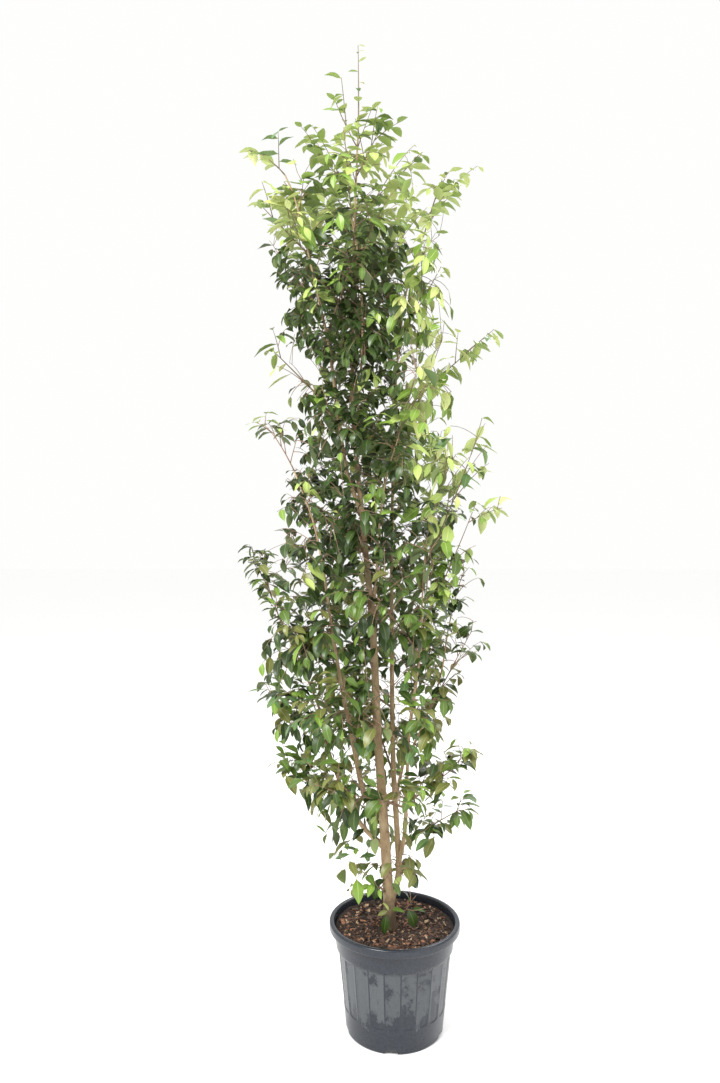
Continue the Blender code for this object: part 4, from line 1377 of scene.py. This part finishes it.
DAMP_AND_SHADE_WANDER = 0.05
DAMP_AND_SHADE_DARKNESS = 0.88


def knots_along(total, draw):
    """Where twigs once stood on a limb: how far along, to which side, how long and how high."""
    knots = []
    walked = KNOT_SPACING
    while walked < total:
        knots.append((walked, draw.uniform(0, math.tau), draw.uniform(*KNOT_SIZE),
                      draw.uniform(*KNOT_RISE)))
        walked += KNOT_SPACING * draw.uniform(*KNOT_STEP)
    return knots


def bark_radius(limb, share, along, angle, knots):
    """The limb's radius here, with the swell of its fork or root flare, and its knots."""
    r = limb.radius_at(share)
    if limb.parent:
        r *= 1 + COLLAR_SWELL * math.exp(-max(0.0, along - limb.parent_girth) / COLLAR_REACH)
    else:
        lobe = 0.5 + 0.5 * math.cos(ROOT_LOBES * angle + ROOT_LOBE_TURN)
        r *= 1 + (FLARE_SHARE + ROOT_LOBE_RISE * lobe) * math.exp(-along / FLARE_REACH)
    for at, turn, size, rise in knots:
        if abs(along - at) < 2 * size:
            side = max(0.0, math.cos(angle - turn)) ** 3
            r *= 1 + rise * (side * math.exp(-((along - at) / size) ** 2 * 2))
    return r


def bark_shape(limb, seed):
    """A limb with its bark's relief, which runs along the grain."""
    points = curve_through(limb.places, BARK_RING)
    if not limb.parent:
        points[0] = points[0] - Vector((0, 0, TRUNK_SINK))
    total = path_length(points)
    knots = knots_along(total, random.Random(seed))
    apart = Vector((seed * RELIEF_APART, 0, 0))
    sides = BARK_SIDES if limb.foot_radius > THICK_LIMB else THIN_BARK_SIDES
    last = len(points) - 1
    verts = []
    across = Vector((0, -1, 0))
    for k, (point, heading) in enumerate(zip(points, directions(points))):
        across = (across - heading * across.dot(heading)).normalized()
        other = heading.cross(across)
        for i in range(sides):
            angle = i * math.tau / sides
            out = math.cos(angle) * across + math.sin(angle) * other
            r = bark_radius(limb, k / last, total * k / last, angle, knots)
            surface = point + out * r
            grain = Vector((surface.x, surface.y, surface.z * RELIEF_STRETCH))
            r *= 1 + RELIEF_DEPTH * noise.noise(grain * RELIEF_COARSE + apart)
            r += RELIEF_FINE_DEPTH * noise.noise(grain * RELIEF_FINE + apart)
            verts.append(point + out * r)
    return verts + [points[0], points[-1]], tube_faces(len(points), sides)


def bark_material():
    """Smooth pale bark with darker patches and small pale pores, darker near the foot: partly damp
    bark, partly painted shade.
    """
    bark = Nodes("bark", Roughness=0.75)
    place = bark.add("TexCoord").outputs["Object"]
    upright = bark.stretched(place, PATCH_STRETCH)
    patches = bark.grain(upright, scale=34.0, detail=6.0, roughness=0.65)
    dry = bark.ramp(patches, BARK_COLOURS)
    pores = bark.add("TexVoronoi", Scale=260.0, Vector=place)
    pore = bark.remap(pores.outputs["Distance"], PORE_EDGE, (PORE_PALENESS, 0.0))
    pored = bark.mix(pore, dry, PORE_COLOUR)
    # Darker near the soil, with a ragged edge: partly damp bark, partly painted shade
    height = bark.add("SeparateXYZ", Vector=place).outputs["Z"]
    ragged = bark.maths("MULTIPLY_ADD", patches, 2 * DAMP_AND_SHADE_WANDER, height)
    level = bark.maths("SUBTRACT", ragged, DAMP_AND_SHADE_WANDER)
    colour = bark.mix(bark.remap(level, DAMP_AND_SHADE_HEIGHT, (DAMP_AND_SHADE_DARKNESS, 0.0)), pored, DAMP_AND_SHADE_COLOUR)
    bark.set(bark.shader, Base_Color=colour)
    bark.bump(patches, strength=0.3, distance=0.0008)
    return bark.material


def make_bark(limbs):
    bark = bark_material()
    for number, limb in enumerate(limbs.values()):
        verts, faces = bark_shape(limb, SEED + number)
        obj = mesh_object(f"bark_{limb.name}", verts, faces, [bark])
        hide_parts(limb.name)


# Potting mix


SOIL_RADIUS = 0.1842
SOIL_WAVES = (0.0030, 22)
SOIL_GRAINS = (0.0022, 75)
SOIL_FOOT_SHARE = 0.92
SOIL_RISE = (0.003, 0.011)
SOIL_RISE_REACH = (0.05, 0.165)
SOIL_RINGS = 46
SOIL_SEGMENTS = 150
SOIL_DEPTH = 0.03
SOIL_COLOURS = ((0.008, 0.005, 0.003), (0.036, 0.019, 0.012))

# Bark chips: how many, how long, how wide and thick for their length, and how they lie
CHIPS = 2900
CHIP_SIZE = (0.004, 0.012)
CHIP_WIDTH = (0.30, 0.65)
CHIP_THICKNESS = (0.12, 0.30)
CHIP_CORNER = (0.6, 1.0)
CHIP_TILT = 0.28
CHIP_LIFT = (-0.1, 0.9)
LARGE_CHIP_SHARE = 0.17
LARGE_CHIP = 1.9
CHIP_SHARP = 25
BLOCK_FACES = [(0, 2, 3), (0, 3, 1), (4, 5, 7), (4, 7, 6), (0, 1, 5), (0, 5, 4),
               (2, 6, 7), (2, 7, 3), (0, 4, 6), (0, 6, 2), (1, 3, 7), (1, 7, 5)]
CHIP_KINDS = {
    "chips_dark": (0.50, (0.012, 0.007, 0.005), (0.042, 0.024, 0.015)),
    "chips_brown": (0.31, (0.050, 0.025, 0.015), (0.130, 0.066, 0.040)),
    "chips_rust": (0.12, (0.160, 0.068, 0.036), (0.340, 0.160, 0.090)),
    "chips_tan": (0.07, (0.260, 0.165, 0.095), (0.540, 0.390, 0.240)),
}

# Loose roots and straws
FIBRES = 26
FIBRE_LENGTH = (0.010, 0.034)
FIBRE_RADIUS = (0.00025, 0.0006)
FIBRE_POINTS = 6
FIBRE_SIDES = 4
FIBRE_BEND = 0.35
FIBRE_MARGIN = 0.025
FIBRE_LIFT = 0.0012
FIBRE_ARCH = 0.003
FIBRE_COLOURS = ((0.30, 0.21, 0.12), (0.52, 0.42, 0.28))


def soil_height(x, y):
    """The bed is uneven, and a little higher near the wall."""
    rough = sum(size * noise.noise(Vector((x, y, layer)) * scale)
                for layer, (size, scale) in ((0, SOIL_WAVES), (3, SOIL_GRAINS)))
    low, high = SOIL_RISE
    return SOIL_LEVEL + rough + low + (high - low) * between(*SOIL_RISE_REACH, math.hypot(x, y))


def mix_piece(obj):
    """A piece of the potting mix, which together stand in for the solid soil."""
    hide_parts("soil")


def mottled(name, low, high, scale, roughness):
    """A rough material whose colour wanders between two, with a bump to match."""
    made = Nodes(name, Roughness=roughness)
    place = made.add("TexCoord").outputs["Object"]
    grain = made.grain(place, scale, detail=5.0, roughness=0.7)
    made.set(made.shader, Base_Color=made.ramp(grain, ((0.35, low), (0.65, high))))
    made.bump(grain, strength=0.6, distance=0.001)
    return made.material


def make_soil():
    verts = []
    for k in range(1, SOIL_RINGS + 1):
        for i in range(SOIL_SEGMENTS):
            angle = i * math.tau / SOIL_SEGMENTS
            radius = SOIL_RADIUS * k / SOIL_RINGS
            x, y = radius * math.cos(angle), radius * math.sin(angle)
            verts.append((x, y, soil_height(x, y)))
    share = SOIL_FOOT_SHARE
    verts += [(x * share, y * share, SOIL_LEVEL - SOIL_DEPTH) for x, y, _ in verts[-SOIL_SEGMENTS:]]
    verts += [(0, 0, soil_height(0, 0)), (0, 0, SOIL_LEVEL - SOIL_DEPTH)]
    faces = [(b, a, c) for a, b, c in tube_faces(SOIL_RINGS + 1, SOIL_SEGMENTS)]
    looks = mottled("potting mix", *SOIL_COLOURS, scale=320, roughness=0.95)
    mix_piece(mesh_object("soil_bed", verts, faces, [looks]))
    draw = random.Random(SEED)
    for name, (share, low, high) in CHIP_KINDS.items():
        heap = Heap()
        for _ in range(round(CHIPS * share)):
            heap.add(*chip(draw))
        looks = mottled(name.replace("_", " "), low, high, scale=180, roughness=0.85)
        mix_piece(heap.object(name, [looks], sharp=CHIP_SHARP))
    heap = Heap()
    for _ in range(FIBRES):
        heap.add(*fibre(draw))
    mix_piece(heap.object("fibres", [mottled("pale fibre", *FIBRE_COLOURS, scale=300, roughness=0.8)]))


def soil_spot(draw, margin):
    angle = draw.uniform(0, math.tau)
    radius = (SOIL_RADIUS - margin) * math.sqrt(draw.random())
    x, y = radius * math.cos(angle), radius * math.sin(angle)
    return Vector((x, y, soil_height(x, y)))


def chip(draw):
    """One bark chip: a flat block with uneven corners, lying a little askew."""
    size = draw.uniform(*CHIP_SIZE)
    if draw.random() < LARGE_CHIP_SHARE:
        size *= LARGE_CHIP
    half = Vector((size, size * draw.uniform(*CHIP_WIDTH), size * draw.uniform(*CHIP_THICKNESS))) * 0.5
    spin = draw.uniform(0, math.tau)
    tilt = draw.gauss(0, CHIP_TILT)
    lean = draw.gauss(0, CHIP_TILT)
    centre = soil_spot(draw, size) + Vector((0, 0, draw.uniform(*CHIP_LIFT) * half.z * 2))
    verts = []
    for i in range(8):
        corner = Vector((1 if i & 1 else -1, 1 if i & 2 else -1, 1 if i & 4 else -1))
        p = Vector([c * h * draw.uniform(*CHIP_CORNER) for c, h in zip(corner, half)])
        p.z += p.x * math.tan(tilt) + p.y * math.tan(lean)
        x = p.x * math.cos(spin) - p.y * math.sin(spin)
        y = p.x * math.sin(spin) + p.y * math.cos(spin)
        verts.append(centre + Vector((x, y, p.z)))
    return verts, BLOCK_FACES


def fibre(draw):
    """One loose root or straw, thin and bent, lying on the mix."""
    start = soil_spot(draw, FIBRE_MARGIN)
    spin = draw.uniform(0, math.tau)
    length = draw.uniform(*FIBRE_LENGTH)
    points = []
    for k in range(FIBRE_POINTS):
        share = k / (FIBRE_POINTS - 1)
        spin += draw.uniform(-FIBRE_BEND, FIBRE_BEND)
        p = start + Vector((math.cos(spin), math.sin(spin), 0)) * length * share
        arch = FIBRE_ARCH * math.sin(math.pi * share) * draw.random()
        p.z = soil_height(p.x, p.y) + FIBRE_LIFT + arch
        points.append(p)
    return tube(points, [draw.uniform(*FIBRE_RADIUS)] * FIBRE_POINTS, FIBRE_SIDES)


# Pot


POT_COLUMNS_PER_FLUTE = 14
PANEL_DEPTH = 0.0024
FLUTE_FLANK = 0.36
FLUTE_ROUND = 0.010
FLUTE_LEDGE = 0.005
LIP_CURVE = 0.006
FOOT_WIDTH = 0.020
FOOT_RECESS = 0.0095
FOOT_SQUEEZE = 0.020
UNDERSIDE_MIDDLE = 0.060
POT_FLOOR = 0.014
INSIDE_ROW = 0.10
BAND_ROWS = 8
LIP_ROWS = 6
POT_SHARP = 48
PANEL_FLAT = 0.80
PANEL_ROUND = 0.20
FLUTES_END = STEP_HEIGHT - 0.004
POT_COLOURS = ((0.35, (0.013, 0.017, 0.025)), (0.65, (0.024, 0.029, 0.039)))
POT_ROUGHNESS = (0.27, 0.55)

# Heights of the wall's rows: singly near the foot, then first height, step and count
FOOT_ROWS = (0.005, 0.009, 0.014, 0.020, 0.030, 0.042, 0.054, 0.064)
WALL_ROWS = ((FOOT_BAND - 0.002, 0.0016, 12), (0.095, 0.012, 12), (STEP_HEIGHT - 0.0125, 0.0015, 8))

# Edges of the pot's outline: offsets from the sharp corner, outwards and up
FOOT_INNER_EDGE = ((-0.001, FOOT_RECESS), (0.0, 0.0005), (0.001, 0.0))
FOOT_OUTER_EDGE = ((-0.003, 0.0), (-0.0012, 0.0006), (-0.0002, 0.0022))
STEP_EDGE = ((0.0, -0.001), (0.001, 0.0))
BAND_EDGE = ((-0.001, 0.0004), (0.0, 0.0018))
UNDER_LIP_EDGE = ((-0.0004, -0.0040), (0.0012, -0.0030), (0.0014, -0.0012), (0.0030, 0.0))
LIP_LOW_EDGE = ((-0.003, 0.0002), (-0.0008, 0.0014), (0.0, 0.0040))
LIP_INNER_EDGE = ((0.004, -0.0003), (0.0012, -0.0016), (0.0, -0.004), (0.0, -0.012))

# Dried water marks on the panels: their foot, with how much it differs, and their top
MARK_COLOUR = (0.100, 0.108, 0.114, 1.0)
MARK_FOOT = (0.085, 0.060)
MARK_TOP = 0.254
MARK_WANDER = 0.30
MARK_WEAR = 0.405
MARK_HALF_WIDTH = 0.465
MARK_STRETCH = (1.0, 1.0, 0.55)
MARK_TOP_WANDER = 0.15
WORN_STRETCH = (0.55, 3.7, 14.0)
WORN_MORE = 0.10

# How sharply a mark ends at its foot and its top, where it is worn off, and at the ridges
FOOT_FADE = 60.0
TOP_FADE = 90.0
WORN_FADE = 18.0
RIDGE_FADE = 45.0


def wall_radius(z):
    """Outer radius of the tapering body at this height, on the ridges of its flutes."""
    return BASE_RADIUS + (STEP_RADIUS - BASE_RADIUS) * z / STEP_HEIGHT


def inner_radius(z):
    """Radius of the body's inside, clear of the flutes."""
    return wall_radius(z) - WALL - FLUTE_DEPTH


def smooth(low, high, value):
    t = between(low, high, value)
    return t * t * (3 - 2 * t)


def flute_sink(angle, z):
    """How deep the wall lies below its ridges here: broad panels, round at the foot."""
    pitch = math.tau / FLUTES
    across = ((angle - FLUTE_PHASE + math.pi / 2) / pitch) % 1.0
    off = abs(2 * across - 1)
    low = FOOT_BAND + FLUTE_ROUND * (1 - math.sqrt(max(0.0, 1 - off ** 2)))
    panel = smooth(0.0, FLUTE_FLANK, 1 - off) * (PANEL_FLAT + PANEL_ROUND * (1 - off * off))
    ends = smooth(low, low + FLUTE_LEDGE, z) * smooth(0.0, FLUTE_LEDGE, FLUTES_END - z)
    return PANEL_DEPTH * panel * ends


def notch_rise(angle):
    """How far the foot's edge is lifted by the notches under the pot."""
    pitch = math.tau / NOTCHES
    off = (angle - NOTCH_PHASE + 0.5 * pitch) % pitch - 0.5 * pitch
    away = abs(off) * BASE_RADIUS
    return NOTCH_HEIGHT * between(0.0, NOTCH_SLOPE, 0.5 * NOTCH_WIDTH - away)


def edge_rows(radius, height, offsets):
    return [(radius + outward, height + up, 0) for outward, up in offsets]


def pot_profile():
    """(radius, height, whether flutes show there) from the underside's middle round to the inside's."""
    band = STEP_RADIUS + BAND_STEP
    under_lip = POT_HEIGHT - LIP_HEIGHT
    rows = [(UNDERSIDE_MIDDLE, FOOT_RECESS, 0)]
    rows += edge_rows(BASE_RADIUS - FOOT_WIDTH, 0.0, FOOT_INNER_EDGE)
    rows += edge_rows(BASE_RADIUS, 0.0, FOOT_OUTER_EDGE)
    heights = [first + step * k for first, step, count in WALL_ROWS for k in range(count)]
    rows += [(wall_radius(z), z, 1) for z in (*FOOT_ROWS, *heights)]
    rows += edge_rows(STEP_RADIUS, STEP_HEIGHT, STEP_EDGE)
    rows += edge_rows(band, STEP_HEIGHT, BAND_EDGE)
    for k in range(1, BAND_ROWS):
        share = k / BAND_ROWS
        rows.append((band + BAND_FLARE * share, STEP_HEIGHT + (under_lip - STEP_HEIGHT) * share, 0))
    rows += edge_rows(band + BAND_FLARE, under_lip, UNDER_LIP_EDGE)
    rows += edge_rows(RIM_RADIUS, under_lip, LIP_LOW_EDGE)
    rows.append((RIM_RADIUS, POT_HEIGHT - 2 * LIP_CURVE, 0))
    for k in range(LIP_ROWS + 1):
        turn = 0.5 * math.pi * k / LIP_ROWS
        rows.append((RIM_RADIUS - LIP_CURVE + LIP_CURVE * math.cos(turn),
                     POT_HEIGHT - LIP_CURVE + LIP_CURVE * math.sin(turn), 0))
    rows += edge_rows(RIM_RADIUS - LIP_WIDTH, POT_HEIGHT, LIP_INNER_EDGE)
    rows += [(inner_radius(STEP_HEIGHT), STEP_HEIGHT, 0), (inner_radius(INSIDE_ROW), INSIDE_ROW, 0),
             (inner_radius(0.0), POT_FLOOR, 0)]
    return rows


def make_pot():
    columns = FLUTES * POT_COLUMNS_PER_FLUTE
    rows = pot_profile()
    verts = []
    for radius, z, fluted in rows:
        in_foot = z < FOOT_SQUEEZE and BASE_RADIUS - FOOT_WIDTH <= radius and z != POT_FLOOR
        for i in range(columns):
            angle = FLUTE_PHASE - math.pi / 2 + i * math.tau / columns
            r = radius - (flute_sink(angle, z) if fluted else 0.0)
            lift = notch_rise(angle) * (1 - z / FOOT_SQUEEZE) if in_foot else 0.0
            verts.append((r * math.cos(angle), r * math.sin(angle), z + lift))
    verts += [(0, 0, FOOT_RECESS), (0, 0, POT_FLOOR)]
    faces = tube_faces(len(rows), columns)
    obj = mesh_object("pot_shell", verts, faces, [pot_material()], sharp=POT_SHARP)
    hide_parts("pot")


def pot_material():
    """Dark slate plastic, with a dried water mark of its own ragged length in each panel."""
    pot = Nodes("pot plastic")
    maths = pot.maths
    place = pot.add("TexCoord").outputs["Object"]
    x, y, z = pot.add("SeparateXYZ", Vector=place).outputs
    angle = maths("ARCTAN2", x, maths("MULTIPLY", y, -1.0))
    turns = maths("MULTIPLY", maths("SUBTRACT", angle, FLUTE_PHASE), FLUTES / math.tau)
    panel = maths("FLOOR", turns)
    luck_node = pot.add("TexWhiteNoise")
    luck_node.noise_dimensions = "1D"
    pot.set(luck_node, W=panel)
    luck = luck_node.outputs["Value"]

    # Where a mark ends above and below, by panel
    ragged = pot.grain(pot.stretched(place, MARK_STRETCH), scale=26.0, detail=8.0, roughness=0.62)
    wander = maths("MULTIPLY", maths("SUBTRACT", ragged, 0.5), MARK_WANDER)
    foot = maths("ADD", MARK_FOOT[0], maths("MULTIPLY", luck, MARK_FOOT[1]))
    above = maths("SUBTRACT", maths("ADD", z, wander), foot)
    below = maths("SUBTRACT", MARK_TOP, maths("ADD", z, maths("MULTIPLY", wander, MARK_TOP_WANDER)))
    inside = maths("MINIMUM", maths("MULTIPLY", above, FOOT_FADE), maths("MULTIPLY", below, TOP_FADE))

    # Where it is worn off, in patches and at the ridges
    own_place = pot.add("CombineXYZ")
    for axis, value, stretch in zip("XYZ", (turns, panel, z), WORN_STRETCH):
        pot.set(own_place, **{axis: maths("MULTIPLY", value, stretch)})
    worn = pot.grain(own_place.outputs["Vector"], scale=1.0, detail=7.0, roughness=0.68)
    left = maths("SUBTRACT", maths("SUBTRACT", worn, maths("MULTIPLY", luck, WORN_MORE)), MARK_WEAR)
    inside = maths("MINIMUM", inside, maths("MULTIPLY", left, WORN_FADE))
    from_middle = maths("ABSOLUTE", maths("SUBTRACT", maths("FRACT", turns), 0.5))
    off_ridge = maths("SUBTRACT", MARK_HALF_WIDTH, from_middle)
    inside = maths("MINIMUM", inside, maths("MULTIPLY", off_ridge, RIDGE_FADE))
    mark = pot.add("Clamp", Value=inside).outputs["Result"]

    # How strongly it shows
    dust = pot.grain(place, scale=150.0, detail=6.0, roughness=0.5)
    speckle = maths("ADD", 0.55, maths("MULTIPLY", dust, 0.7))
    strength = maths("FRACT", maths("MULTIPLY", luck, 7.3))
    strength = maths("ADD", 0.55, maths("MULTIPLY", strength, 0.45))
    amount = maths("MULTIPLY", mark, maths("MULTIPLY", speckle, strength))
    pot.set(pot.shader, Base_Color=pot.mix(amount, pot.ramp(dust, POT_COLOURS), MARK_COLOUR))
    pot.set(pot.shader, Roughness=pot.remap(amount, (0.0, 1.0), POT_ROUGHNESS))
    pot.bump(dust, strength=0.12, distance=0.0006)
    return pot.material


# Floor, lights and camera


FLOOR = 40
FLOOR_COLOUR = (0.985, 0.985, 0.98)
SKY_COLOUR = (0.995, 0.995, 0.985, 1.0)

# Place, size and power of each lamp
LAMPS = {
    "key": ((-2.4, -3.2, 4.8), 1.4, 280),
    "fill": ((3.0, -2.6, 2.8), 2.5, 40),
    "back": ((1.4, 2.8, 4.8), 2.0, 110),
}
LAMP_AIM = (-0.07, 0, 1.5)

FOCAL_PIXELS = 797
PICTURE_HEIGHT = 1083
SENSOR = 36


def make_studio():
    mesh = bpy.data.meshes.new("floor")
    corners = [(-FLOOR, -FLOOR, 0), (FLOOR, -FLOOR, 0), (FLOOR, FLOOR, 0), (-FLOOR, FLOOR, 0)]
    mesh.from_pydata(corners, [], [(0, 1, 2, 3)])
    floor = bpy.data.objects.new("floor", mesh)
    bpy.context.scene.collection.objects.link(floor)
    mesh.materials.append(material("pale floor", FLOOR_COLOUR, roughness=0.9))
    world = bpy.data.worlds.new("studio")
    bpy.context.scene.world = world
    world.use_nodes = True
    world.node_tree.nodes["Background"].inputs["Color"].default_value = SKY_COLOUR
    world.node_tree.nodes["Background"].inputs["Strength"].default_value = 1.0
    bpy.context.scene.view_settings.view_transform = "Standard"
    for name, (place, size, power) in LAMPS.items():
        light = bpy.data.lights.new(name, "AREA")
        light.size = size
        light.energy = power
        lamp = bpy.data.objects.new(name, light)
        lamp.location = place
        aim = Vector(LAMP_AIM) - lamp.location
        lamp.rotation_euler = aim.to_track_quat("-Z", "Y").to_euler()
        bpy.context.scene.collection.objects.link(lamp)


def make_camera():
    lens = bpy.data.cameras.new("camera")
    lens.lens = FOCAL_PIXELS / PICTURE_HEIGHT * SENSOR
    lens.sensor_width = SENSOR
    camera = bpy.data.objects.new("camera", lens)
    camera.location = (VIEW_MIDDLE[0], -VIEW_DISTANCE, VIEW_MIDDLE[1])
    camera.rotation_euler = (math.pi / 2, 0, 0)
    bpy.context.scene.collection.objects.link(camera)
    bpy.context.scene.camera = camera


def make_plant():
    """Bark on every limb, and the twigs and leaves of every mass."""
    limbs = {}
    for name in LIMBS:
        limbs[name] = Limb(name, limbs)
    make_bark(limbs)
    shoots = make_shoots(limbs)
    crown = Crown(limbs, shoots)
    for number, shoot in enumerate(shoots):
        grow_mass(crown, number, shoot)
    for number, limb in enumerate(limbs.values()):
        grow_on_limb(crown, limb, random.Random(SEED * 500 + number))
    grow_filling(crown, limbs, random.Random(SEED + 1))
    grow_sprigs(crown)
    masses = [shoot.name for shoot in shoots]
    for piece in make_twigs(crown.twigs) + make_leaves(crown.leaves):
        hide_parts(*masses)


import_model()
make_plant()
make_soil()
make_pot()
make_studio()
make_camera()
